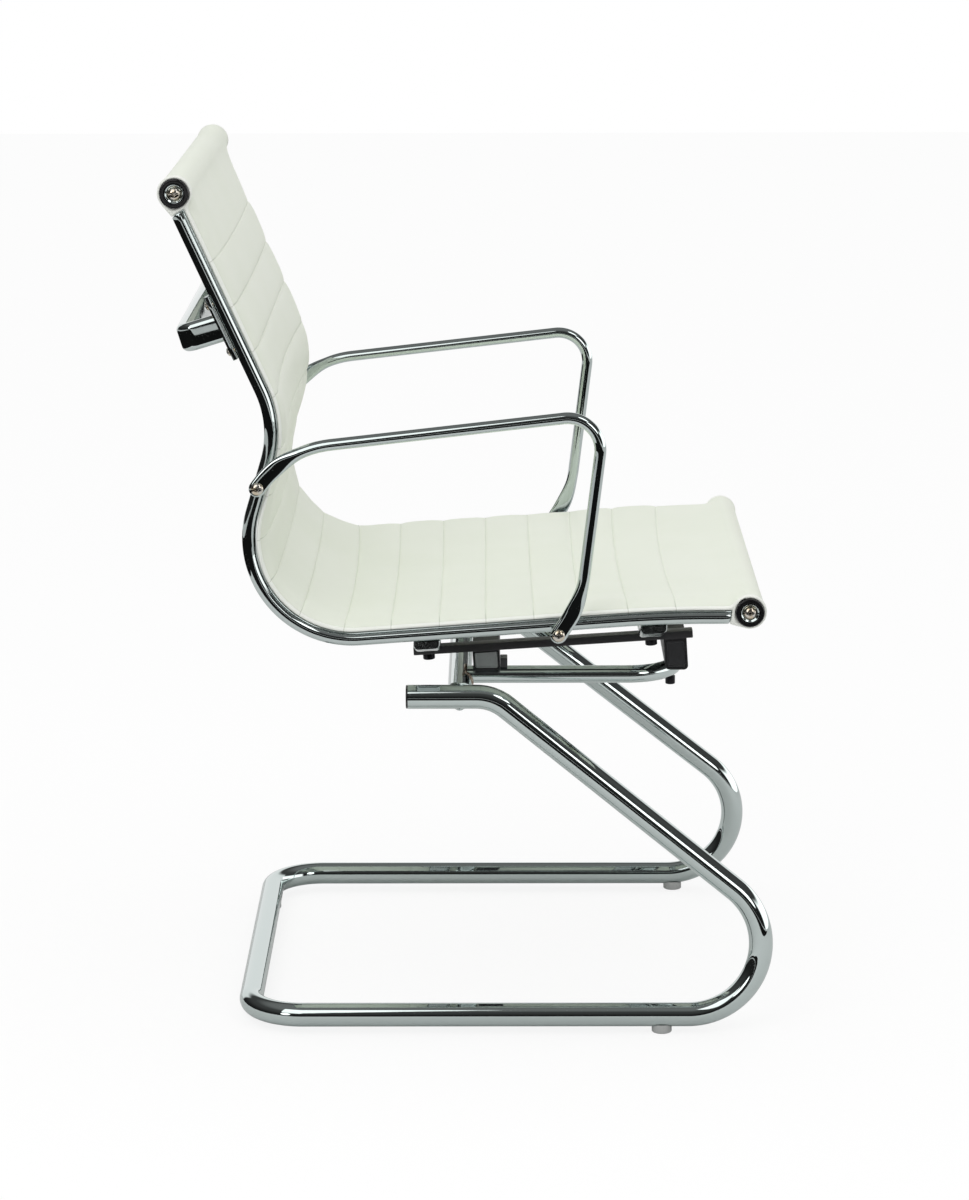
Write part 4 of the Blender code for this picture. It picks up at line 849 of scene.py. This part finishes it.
# How the panel lies, row by row down the rail: distance, lift over the hem
# along its edge, and how far its middle bows forward of that.
COURSE = np.array([
    (0.0, 0.0050, 0.0), (0.038, 0.0050, 0.0050), (0.0767, 0.0035, 0.0055),
    (0.126, 0.0030, 0.0035), (0.176, 0.0030, 0.0), (0.225, 0.0035, -0.0085),
    (0.275, 0.0035, -0.0065), (0.325, 0.0040, 0.0), (0.374, 0.0040, 0.0065),
    (0.423, 0.0038, 0.0042), (0.473, 0.0035, 0.0045), (0.522, 0.0040, 0.0),
    (0.572, 0.0053, -0.0033), (0.621, 0.0056, -0.0048), (0.671, 0.0050, -0.0042),
    (0.720, 0.0045, -0.0037), (0.770, 0.0045, -0.0037), (0.819, 0.0062, -0.0054),
    (0.869, 0.0069, -0.0059), (0.905, 0.0080, -0.0035), (0.945, 0.0080, 0.0),
])
# How far each seam is pulled down the sling at the right hem, in the middle
# and at the left hem, in millimetres. The eight below the top roll are straight.
PULL = np.array([(0, 0, 0)] * 8 + [
    (1, 3, 0), (5, 9, 1), (5, 6, 2.4), (5, 5, 2.4), (3, 2, 1.5), (2.5, 0.8, 0),
    (1, -2, -0.8), (-0.5, -5, -1.5), (-1.5, -6.5, -1),
])


def smooth(x, low, high):
    """0 below low, 1 above high, 3t^2 - 2t^3 between them."""
    t = np.clip((x - low) / (high - low), 0, 1)
    return t * t * (3 - 2 * t)


def bell(off, width):
    """exp(-(off / width)^2)."""
    return np.exp(-((off / width) ** 2))


def from_end(at):
    """Distance along the sling to the nearer roll."""
    return np.minimum(at, rail_total - at)


def rib(at):
    """0 at a seam, 1 between: 1 - |2t - 1|^3.4, t being the place in the rib."""
    turn = (at - SEAM_FIRST) / SEAM_PITCH
    inside = (turn > 0) & (turn < SEAM_COUNT - 1)
    return np.where(inside, 1 - np.abs(2 * (turn % 1.0) - 1) ** 3.4, 0.0)


def seam_gap(at):
    """Distance along the sling to the nearest seam."""
    number = np.clip(np.round((at - SEAM_FIRST) / SEAM_PITCH), 0, SEAM_COUNT - 1)
    return np.abs(at - SEAM_FIRST - number * SEAM_PITCH)


def course(at, column):
    """A column of the course, on a smooth curve through its rows.

    Between rows 1 and 2: (2b + (c - a)t + (2a - 5b + 4c - d)t^2
    + (3b - a - 3c + d)t^3) / 2, with rows a, b, c, d around them.
    """
    places = COURSE[:, 0]
    row = np.clip(np.searchsorted(places, at, side="right") - 1, 0, len(places) - 2)
    t = np.clip((at - places[row]) / (places[row + 1] - places[row]), 0, 1)
    value = np.concatenate([COURSE[:1, column], COURSE[:, column], COURSE[-1:, column]])
    a, b, c, d = (value[row + step] for step in range(4))
    bend = (2 * a - 5 * b + 4 * c - d) * t**2 + (3 * b - a - 3 * c + d) * t**3
    return (2 * b + (c - a) * t + bend) / 2


def pulled(at, y):
    """How far the seams are drawn down the sling here: M + (L - R)/2 u +
    ((L + R)/2 - M) u^2, where u is y over the panel's half width."""
    right, middle, left = (np.interp(at, SEAMS, PULL[:, k] / 1000) for k in range(3))
    u = y / PANEL_EDGE_Y
    shift = middle + (left - right) / 2 * u + ((left + right) / 2 - middle) * u**2
    return shift * smooth(from_end(at), 0.02, SEAM_FIRST)


def pad_share(y):
    """0 on the hem, 1 on the panel: 1 - (1 - t)^2 across the panel's edge."""
    t = np.clip((PANEL_EDGE_Y - np.abs(y)) / PANEL_EDGE_RUN, 0, 1)
    return 1 - (1 - t) ** 2


def bow(at, y):
    """The middle's bow: the course times 1 - (y / half width)^2, none at a roll."""
    across = 1 - (y / HEM_HALF_WIDTH) ** 2
    return course(at, 2) * across * smooth(from_end(at), 0.005, 0.030)


def dipped(y):
    """How much the wrap sinks between the roll's two ends."""
    return LOOP_DIP * (1 - smooth(np.abs(y), 0.236, 0.2560))


def off_roll(at, y):
    """The wrap as it leaves the roll: its circle, then the straight tangent."""
    near = from_end(at)
    radius = LOOP_OUTER - dipped(y)
    leave = LOOP_LEAVE + (HEM_LEAVE - LOOP_LEAVE) * (1 - pad_share(y))
    along = radius * np.sin(leave)
    ramp = radius * np.cos(leave) - (near - along) * np.tan(leave)
    return ROLL_OFFSET + np.where(near < along, cope(near, radius), ramp)


def front_height(sewn, at, y):
    """Height of the front face over the rail's centreline.

    hem + lift * pad + crown * rib - groove * bell + puckers along the hem; or
    the wrap where that is higher, eased by (soft - difference)^2 / (4 soft);
    plus the bow.
    """
    pad = pad_share(y)
    swell = 1 + 0.10 * np.sin(sewn * 61 + y * 14) + 0.06 * np.sin(sewn * 23 - y * 31)
    crown = RIB_CROWN * swell * rib(sewn) * (0.08 + 0.92 * pad)
    groove = 0.0008 * bell(seam_gap(sewn), GROOVE_WIDTH) * (0.3 + 0.7 * pad)
    beat = np.sin(tau * at / 0.0147 + 1.7 * np.sin(tau * at / 0.063) + np.sign(y))
    pucker = 0.0004 * beat * bell(np.abs(y) - 0.2415, 0.0045) * (0.4 + 0.6 * np.sin(at * 37) ** 2)
    face = HEM + course(at, 1) * pad + crown - groove + pucker
    wrap = off_roll(at, y)
    soft = np.maximum(RAMP_EASE - np.abs(face - wrap), 0) ** 2 / (4 * RAMP_EASE)
    ramp = from_end(at) < SEAM_FIRST - 0.004
    return np.where(ramp, np.maximum(face, wrap) + soft, face) + bow(at, y)


def back_height(sewn, at, y):
    """Height of the rear face: the hem's underside, shallower ribs, the bow."""
    pad = pad_share(y)
    groove = 0.0006 * bell(seam_gap(sewn), GROOVE_WIDTH)
    near = from_end(at)
    ring = ROLL_OFFSET + cope(near, LOOP_INNER + RAIL_CLEAR)
    under_hem = np.where(near < LOOP_INNER, np.maximum(REST, ring), REST)
    panel = np.maximum(REST, off_roll(at, y) - LOOP_THICKNESS + LOOP_DIP)
    panel = panel - RIB_BACK_CROWN * rib(sewn) + groove
    return under_hem * (1 - pad) + panel * pad + bow(at, y)


def on_rail(at):
    """Points and sitter-side normals of the rail's centreline at distances."""
    gone, way = gone_along(rail_line), ways(rail_line)
    point = np.stack([np.interp(at, gone, rail_line[:, k]) for k in range(3)], -1)
    way = unit(np.stack([np.interp(at, gone, way[:, k]) for k in range(3)], -1))
    return point, sitter_side(way)


# Stations along the sling, closer at the seams and at the ends' ramps.
STEPS = np.array([0, 0.0005, 0.0010, 0.0016, 0.0024])
spots = np.array([*STEPS, 0.0038, 0.0060, 0.0090, 0.0130, 0.0180]) / SEAM_PITCH
share = np.concatenate([spots, [0.5], 1 - spots[:0:-1]])
top_ramp = np.concatenate([
    LOOP_OUTER * sin(LOOP_LEAVE) + np.linspace(0.0004, 0.0190, 24),
    np.linspace(0.0255, SEAM_FIRST - 0.0038, 18),
    SEAM_FIRST - STEPS[:0:-1],
])
front_ramp = np.concatenate([
    SEAMS[-1] + STEPS,
    np.linspace(SEAMS[-1] + 0.0038, rail_total - 0.0255, 14),
    rail_total - top_ramp[23::-1],
])
ribs = (SEAMS[:-1, None] + SEAM_PITCH * share).ravel()
strip_at = np.concatenate([top_ramp, ribs, front_ramp])

# Places across: dense at the hem and the panel's edge, even between.
half_y = np.concatenate([
    [0.2580, 0.2578, 0.2573, 0.2564, 0.2550, 0.2530, 0.2512, 0.2502, 0.2496, 0.2490, 0.2482],
    [0.2470, 0.2455, 0.2438, 0.2420, 0.2400, 0.2378, 0.2353, 0.2325, 0.2293, 0.2258, 0.2220],
    [0.2175],
    np.linspace(0.2110, 0, 20),
])
across_y = np.concatenate([-half_y, half_y[-2::-1]])

sewn_grid, y_grid = np.meshgrid(strip_at, across_y, indexing="ij")
at_grid = sewn_grid + pulled(sewn_grid, y_grid)
point, normal = on_rail(at_grid)
front = front_height(sewn_grid, at_grid, y_grid)
rear = back_height(sewn_grid, at_grid, y_grid)
# The hem's edge is turned: both faces meet in a half round at the rim, and a
# row of stitches draws it in along the panel.
rim = 1 - smooth(np.abs(y_grid), 0.2562, 0.2581) * 0.55
stitched = 0.0005 * bell(np.abs(y_grid) - STITCH_Y, 0.0007)
centre_face = (front + rear) / 2
thick = (front - rear) / 2 * rim
widen = np.interp(from_end(strip_at), [0.0105, 0.0215], [LOOP_HALF_WIDTH, HEM_HALF_WIDTH])


def strip(heights):
    """Points of one face: rail point + normal * height, at each y."""
    face = point + normal * heights[..., None]
    face[..., 1] = y_grid * (widen / HEM_HALF_WIDTH)[:, None]
    return face


front_face = strip(centre_face + thick - stitched)
strip_grid = np.concatenate([front_face, strip(centre_face - thick)[:, ::-1]], axis=1)


def loop_grid(centre, normal, away):
    """The wrap round a roll, from where the strip leaves it to under the hem.

    The outer radius is R, but behind the roll R / cos(a - tail's start), then
    R / cos(a - tail's end), which are the two straight faces of the tail.
    """
    a = np.concatenate([
        np.linspace(-LOOP_LEAVE, TAIL_START, 44),
        np.linspace(TAIL_START, TAIL_END, 25)[1:],
        np.linspace(TAIL_END, radians(312), 10)[1:],
    ])[:, None]
    off = np.where(a < (TAIL_START + TAIL_END) / 2, a - TAIL_START, a - TAIL_END)
    off = np.where((a < TAIL_START) | (a > TAIL_END), 0, off)
    y = across_y * LOOP_HALF_WIDTH / HEM_HALF_WIDTH
    outer = np.minimum(LOOP_OUTER / np.cos(off), 0.0236) - dipped(y)
    mean = (outer + LOOP_INNER) / 2
    half = (outer - LOOP_INNER) / 2 * (1 - smooth(np.abs(y), 0.2574, 0.2596) * 0.5)
    reach = (normal * np.cos(a) + away * np.sin(a))[:, None]
    faces = []
    for radius in (mean + half, mean - half):
        face = centre + reach * radius[..., None]
        face[..., 1] = y
        faces.append(face)
    return np.concatenate([faces[0], faces[1][:, ::-1]], axis=1)


def leatherette(name):
    """Smooth leatherette: pebbled grain, soft sheen, painted shade in the seams and at the hem's
    stitches, and a painted highlight on the hem strip.
    """
    made = Finish(name, Specular_IOR_Level=0.18)
    seam, hem = (
        made.node("ShaderNodeAttribute", {"attribute_name": layer}, {}, "Fac")
        for layer in ("seam_gap", "hem_gap")
    )
    off_hem = abs(hem)
    by_hem = 1 - off_hem.rise(2.0, 16.0)
    # Painted shade: the colour darkens in each seam's groove, more strongly near the hem, and in a
    # line along the hem's stitches.
    seam_shade = (1 - seam.rise(0.10, 0.95)) * (by_hem * 0.34 + 0.20)
    seam_shade = seam_shade + (1 - off_hem.rise(0.1, 0.8)) * 0.26
    tone = made.noise(9, 3).rise(0.3, 0.7)
    colour_before_seam_shade = made.mix(tone, (0.845, 0.885, 0.775), (0.865, 0.90, 0.80))
    # Painted highlight: the hem strip is painted paler than the panel, for the brighter light it
    # catches along the edge.
    colour_before_seam_shade = made.mix(hem.rise(0.5, 1.5), colour_before_seam_shade, (0.93, 0.95, 0.89))
    cells = {"Vector": made.place(), "Scale": 780.0}
    pebble = made.node("ShaderNodeTexVoronoi", {"feature": "DISTANCE_TO_EDGE"}, cells)
    pebble = pebble.rise(0.0, 0.35)
    wrinkle = made.noise(190, 4, 0.6)
    made.feed(
        Base_Color=made.mix(seam_shade, colour_before_seam_shade, (0.42, 0.45, 0.36)),
        Roughness=pebble * -0.08 + wrinkle * 0.12 + 0.42,
    )
    made.bump(pebble * 0.5 + wrinkle * 0.5, 0.20, 0.0003)
    return made.material


def marked(made, name, values):
    """Stores one number per vertex for the finish to read."""
    layer = made.data.attributes.new(name, "FLOAT", "POINT")
    layer.data.foreach_set("value", np.ascontiguousarray(values, dtype=np.float32).ravel())


top_loop = loop_grid(*ROLLS["top"])[::-1]
grid = np.concatenate([top_loop, strip_grid, loop_grid(*ROLLS["front"])])
LEATHERETTE = leatherette("ivory_leatherette")
sling = piece("ribbed_sling", grid, LEATHERETTE, "leatherette", "sling", sharp=80)
# Both layers are in millimetres: to the nearest seam, and past the stitches.
far = np.full(len(top_loop), SEAM_PITCH)
seam_layer = np.concatenate([far, seam_gap(strip_at), far])[:, None] * 1000
hem_layer = (np.abs(np.concatenate([across_y, across_y[::-1]])) - STITCH_Y) * 1000
marked(sling, "seam_gap", np.broadcast_to(seam_layer, grid.shape[:2]))
marked(sling, "hem_gap", np.broadcast_to(hem_layer, grid.shape[:2]))

# Behind the back a cast U of polished alloy ties the rails together. Its ends
# are flanges that lie on the rails' rear edges, held by two small screws each.

BRACE_ALONG = 0.1415
BRACE_HEIGHT = 0.029
BRACE_THICKNESS = 0.014
BRACE_RISE = radians(7)
BRACE_REACH = 0.0475
BRACE_CORNER_RADIUS = 0.011
FLANGE_Y = 0.255
FLANGE_HALF_LENGTH = 0.035
FLANGE_THICKNESS = 0.005
SMALL_SCREW_RADIUS = 0.0044
SMALL_SHANK_RADIUS = 0.002
SMALL_SCREW_LENGTH = 0.0134
SMALL_SCREW_PITCH = 0.0505
brace_point, brace_normal = on_rail(np.array(BRACE_ALONG))
brace_down = np.array([brace_normal[2], 0, -brace_normal[0]])
rear_way = -brace_normal * cos(BRACE_RISE) - brace_down * sin(BRACE_RISE)
tall_way = -brace_down * cos(BRACE_RISE) + brace_normal * sin(BRACE_RISE)
root = brace_point - brace_normal * (RAIL_HEIGHT / 2 + GAP)
leg_y = 0.259 - BRACE_THICKNESS / 2
leg_reach = BRACE_REACH - BRACE_THICKNESS / 2
plan = [(0.0022, 0), (leg_reach, BRACE_CORNER_RADIUS)]
corners = [(*(root + rear_way * reach - SIDEWAYS * leg_y), radius) for reach, radius in plan]
line = bent(mirrored(corners), radians(4))
section = rounded_box(BRACE_THICKNESS, BRACE_HEIGHT, 0.0067, 10)
grid = carried(line, section, np.cross(ways(line), tall_way), tall_way)
piece("brace_bar", grid, POLISHED_ALLOY, "polished_alloy", "back_brace")

middle = root - brace_normal * FLANGE_THICKNESS / 2
half = brace_down * FLANGE_HALF_LENGTH
line, _ = spaced(np.array([middle - half, middle + half]), 0.005)
count = np.arange(len(line))
taper = np.clip(np.minimum(count, count[::-1]) / 2 * 0.3 + 0.7, 0, 1)
section = rounded_box(0.009, FLANGE_THICKNESS, 0.0012)
section = section * np.stack([taper, np.ones(len(line))], -1)[:, None]
head = dome(SMALL_SCREW_RADIUS, 0.0026, 20, 88, 8)
screw_outline = np.concatenate([
    [(0, 0.0014), (0.0013, 0.0014), (0.00145, 0.0024)],
    head,
    [(SMALL_SCREW_RADIUS, 0), (SMALL_SHANK_RADIUS, 0)],
    [(SMALL_SHANK_RADIUS, -SMALL_SCREW_LENGTH), (0, -SMALL_SCREW_LENGTH)],
])
for side_name, side in SIDES:
    aside = SIDEWAYS * side * FLANGE_Y
    grid = carried(line + aside, section, SIDEWAYS, brace_normal)
    name = "brace_flange_" + side_name
    piece(name, grid, POLISHED_ALLOY, "polished_alloy", bevel=0.0006)
    back = root - brace_normal * (FLANGE_THICKNESS + GAP) + aside
    for end, sign in (("upper", -1), ("lower", 1)):
        seat = back + brace_down * (sign * SMALL_SCREW_PITCH / 2)
        suffix = end + "_" + side_name
        grid = turned(screw_outline, seat, -brace_normal, 36, hexagon=(1, 2))
        piece("brace_" + suffix, grid, STEEL, "steel", "brace_screw_" + suffix)

# The armrests are bent from 12 mm round bar and chromed. Each end is forged
# flat into a leaf and held off the rail by a spacer, with a dome screw.

ARM_Y = 0.2776
ARM_ROD = 0.012
LEAF_WIDTH = 0.0172
LEAF_THICKNESS = 0.006
LEAF_LENGTH = 0.026
LEAF_FADE = 0.062
SPACER_RADIUS = 0.007
ARM_CORNERS = (
    (-0.2161, 0, 0.5854, 0),
    (-0.1885, 0, 0.6248, 0.105),
    (0.1336, 0, 0.6613, 0.033),
    (0.1103, 0, 0.4690, 0.120),
    (0.08735, 0, 0.4334, 0),
)
arm_line, arm_at = spaced(bent(ARM_CORNERS, radians(1)), 0.0022)
arm_way = ways(arm_line)
fade = smooth(np.minimum(arm_at, arm_at[-1] - arm_at), LEAF_LENGTH, LEAF_FADE)
# Each tip is a half circle: the leaf's width times cos a, sin a past the end.
lean = np.radians([12, 25, 37, 48, 58, 67, 75, 82, 87])
tip = LEAF_WIDTH / 2 * np.sin(lean)[:, None]
rear_tip = arm_line[0] - arm_way[0] * tip[::-1]
line = np.concatenate([rear_tip, arm_line, arm_line[-1] + arm_way[-1] * tip])
way = np.concatenate([np.repeat(arm_way[:1], 9, 0), arm_way, np.repeat(arm_way[-1:], 9, 0)])
widths = LEAF_WIDTH + (ARM_ROD - LEAF_WIDTH) * fade
thicks = LEAF_THICKNESS + (ARM_ROD - LEAF_THICKNESS) * fade
narrow = LEAF_WIDTH * np.cos(lean)
thin = LEAF_THICKNESS * np.clip(0.55 + 0.9 * np.cos(lean), 0, 1)
widths = np.concatenate([narrow[::-1], widths, narrow])[:, None]
thicks = np.concatenate([thin[::-1], thicks, thin])[:, None]
# The section is round where power is 1 and nearly square in the leaves.
power = 1 - 0.38 * np.concatenate([np.ones(9), 1 - fade, np.ones(9)])[:, None]
a = np.linspace(0, tau, 48, endpoint=False) + tau / 96
across_part = np.sign(np.cos(a)) * np.abs(np.cos(a)) ** power * widths / 2
out_part = np.sign(np.sin(a)) * np.abs(np.sin(a)) ** power * thicks / 2
length = ARM_Y - LEAF_THICKNESS / 2 - RAIL_OUTER_Y - 2 * GAP
spacer_outline = outlined([
    (HOLE_RADIUS, 0, 0),
    (SPACER_RADIUS, 0, 0.0006),
    (SPACER_RADIUS, length, 0.0006),
    (HOLE_RADIUS, length, 0),
], 20)
for side_name, side in SIDES:
    section = np.stack([across_part, side * (ARM_Y + out_part)], -1)
    grid = carried(line, section, sitter_side(way), SIDEWAYS)
    piece("arm_" + side_name, grid, CHROME, "chrome", "armrest_" + side_name, sharp=60)
    out = SIDEWAYS * side
    for place, corner in (("rear", ARM_CORNERS[0]), ("front", ARM_CORNERS[-1])):
        suffix = "_" + place + "_" + side_name
        seat = corner[:3] + out * (ARM_Y + LEAF_THICKNESS / 2 + GAP)
        dome_screw("arm_dome" + suffix, seat, out, 0.027, "arm_screw" + suffix)
        grid = turned(spacer_outline, corner[:3] + out * (RAIL_OUTER_Y + GAP), out, 40)
        piece("spacer" + suffix, grid, CHROME, "chrome", "arm_spacer" + suffix, ring=True)

# Studio: a pale floor, a white surround for the camera, soft boxes above and on
# both sides of the lens, and the dark room that the chrome mirrors between them.

FLOOR_HALF_SIZE = 9
PAPER_FRONT = -1.10
PAPER_LEFT = -1.05
WHITE = (1, 1, 1, 1)


def flat_sheet(name, x_span, y_span, height, finish):
    """A level rectangle that belongs to the studio."""
    (x0, x1), (y0, y1) = x_span, y_span
    corners = [(x0, y0, height), (x1, y0, height), (x1, y1, height), (x0, y1, height)]
    mesh = bpy.data.meshes.new(name)
    mesh.from_pydata(corners, [], [(0, 1, 2, 3)])
    mesh.materials.append(finish.material)
    made = shown(name, mesh)
    return made


paper = Finish("white_sweep", Base_Color=(0.80, 0.80, 0.80), Roughness=0.9, Specular_IOR_Level=0.0)
camera_ray = paper.node("ShaderNodeLightPath", {}, {}, "Is Camera Ray")
glow = paper.node("ShaderNodeEmission", {}, {"Color": WHITE, "Strength": 1.055})
lit = Signal(paper, paper.shader.outputs[0])
blend = paper.node("ShaderNodeMixShader", {}, {0: camera_ray * 0.80, 1: lit, 2: glow})
paper.tree.links.new(blend.socket, paper.tree.nodes["Material Output"].inputs["Surface"])
span = (-FLOOR_HALF_SIZE, FLOOR_HALF_SIZE)
flat_sheet("studio_floor", span, span, 0, paper)


class Sky(Finish):
    """The world's nodes, built with the same methods as a finish."""

    def __init__(self, world):
        self.tree = world.node_tree
        self.tree.nodes.clear()


world = bpy.data.worlds.new("studio")
world.use_nodes = True
bpy.context.scene.world = world
sky = Sky(world)
direction = sky.node("ShaderNodeTexCoord", {}, {}, "Generated")
side_way, depth, height = (
    sky.node("ShaderNodeSeparateXYZ", {}, {"Vector": direction}, axis) for axis in "XYZ"
)


def lamp_window(way, half_angle):
    """1 inside a cone about a direction: their dot product over its cosine."""
    x, y, z = Vector(way).normalized()
    towards = side_way * x + depth * y + height * z
    return towards.rise(cos(half_angle * 1.12), cos(half_angle * 0.92))


# What the chrome mirrors: a pale wall behind the chair and one at its front,
# a dim ceiling, and three bright lamps. Diffuse surfaces see an even fill.
backdrop = (depth - abs(side_way) * 0.9).rise(0.02, 0.16) * (1 - height.rise(0.38, 0.54))
right_wall = (side_way + depth).rise(0.30, 0.50) * side_way.rise(0.40, 0.62)
right_wall = right_wall * (1 - height.rise(0.28, 0.42)) * 1.9
walls = backdrop.maths("MAXIMUM", backdrop, right_wall)
ceiling = height.rise(0.10, 0.60) * 0.05 + height.rise(0.60, 0.88) * 0.14
windows = (
    lamp_window((0.56, -0.76, 0.34), radians(10)) * 2.8
    + lamp_window((0.46, -0.50, 0.735), radians(9)) * 2.6
    + lamp_window((-0.52, -0.81, 0.28), radians(8)) * 2.6
)
mirrored = walls + ceiling + windows + 0.018
fill_light = height.rise(0.1, 1.0) * 0.62 + depth.rise(-0.75, 0.25) * 0.23 + 0.25
mirror, ambient, surround = (
    sky.node("ShaderNodeBackground", {}, {"Color": WHITE, "Strength": strength})
    for strength in (mirrored, fill_light, 1.0)
)
glossy_ray = sky.node("ShaderNodeLightPath", {}, {}, "Is Glossy Ray")
camera_ray = sky.node("ShaderNodeLightPath", {}, {}, "Is Camera Ray")
room = sky.node("ShaderNodeMixShader", {}, {0: glossy_ray, 1: ambient, 2: mirror})
room = sky.node("ShaderNodeMixShader", {}, {0: camera_ray, 1: room, 2: surround})
out = sky.tree.nodes.new("ShaderNodeOutputWorld")
sky.tree.links.new(room.socket, out.inputs["Surface"])


def soft_box(name, way, distance, width, height, radiance):
    """A rectangular lamp that faces the chair; power = radiance * pi * area."""
    lamp = bpy.data.lights.new(name, "AREA")
    lamp.shape = "RECTANGLE"
    lamp.size = width
    lamp.size_y = height
    lamp.energy = radiance * pi * width * height
    made = shown(name, lamp)
    way = Vector(way).normalized()
    made.location = Vector((0, 0, 0.45)) + way * distance
    made.rotation_euler = way.to_track_quat("Z", "Y").to_euler()
    return made


soft_box("right_box", (0.44, -0.53, 0.69), 2.6, 1.1, 1.1, 1.0).visible_glossy = False
soft_box("left_box", (-0.345, -0.73, 0.58), 2.6, 1.5, 1.7, 1.6)
soft_box("top_box", (0.05, 0.25, 1.0), 2.4, 1.6, 1.2, 0.3).visible_glossy = False

# The white floor is a strip of paper. The studio floor in front of it and to
# its left is black, which the chrome mirrors as its dark bands.
cloth = Finish("black_cloth", Base_Color=(0.010,) * 3, Roughness=1.0, Specular_IOR_Level=0.0)
for name, x_span, y_span in (
    ("front_cloth", (-3, 3), (-5, PAPER_FRONT)),
    ("left_cloth", (-3, PAPER_LEFT), (PAPER_FRONT, 2.5)),
):
    made = flat_sheet(name, x_span, y_span, 0.002, cloth)
    made.visible_camera = False
    made.visible_diffuse = False
    made.visible_shadow = False

# The camera stands 3.9 m off the chair's right side and 1.3 m above the floor,
# square to it, and looks down 13 degrees.

PITCH = radians(12.99)
YAW = radians(-0.20)
ROLL = radians(-0.13)
CAMERA_PLACE = (0.02495, -3.927, 1.312)
ahead = Vector((sin(YAW) * cos(PITCH), cos(YAW) * cos(PITCH), -sin(PITCH)))
right = Vector((cos(YAW), -sin(YAW), 0))
up = Vector((sin(YAW) * sin(PITCH), cos(YAW) * sin(PITCH), cos(PITCH)))
right, up = right * cos(ROLL) + up * sin(ROLL), up * cos(ROLL) - right * sin(ROLL)
lens = bpy.data.cameras.new("camera")
lens.lens = 111.0
lens.sensor_width = 36
camera = shown("camera", lens)
pose = Matrix((right, up, -ahead)).transposed().to_4x4()
pose.translation = Vector(CAMERA_PLACE)
camera.matrix_world = pose
bpy.context.scene.camera = camera
bpy.context.scene.view_settings.view_transform = "Standard"
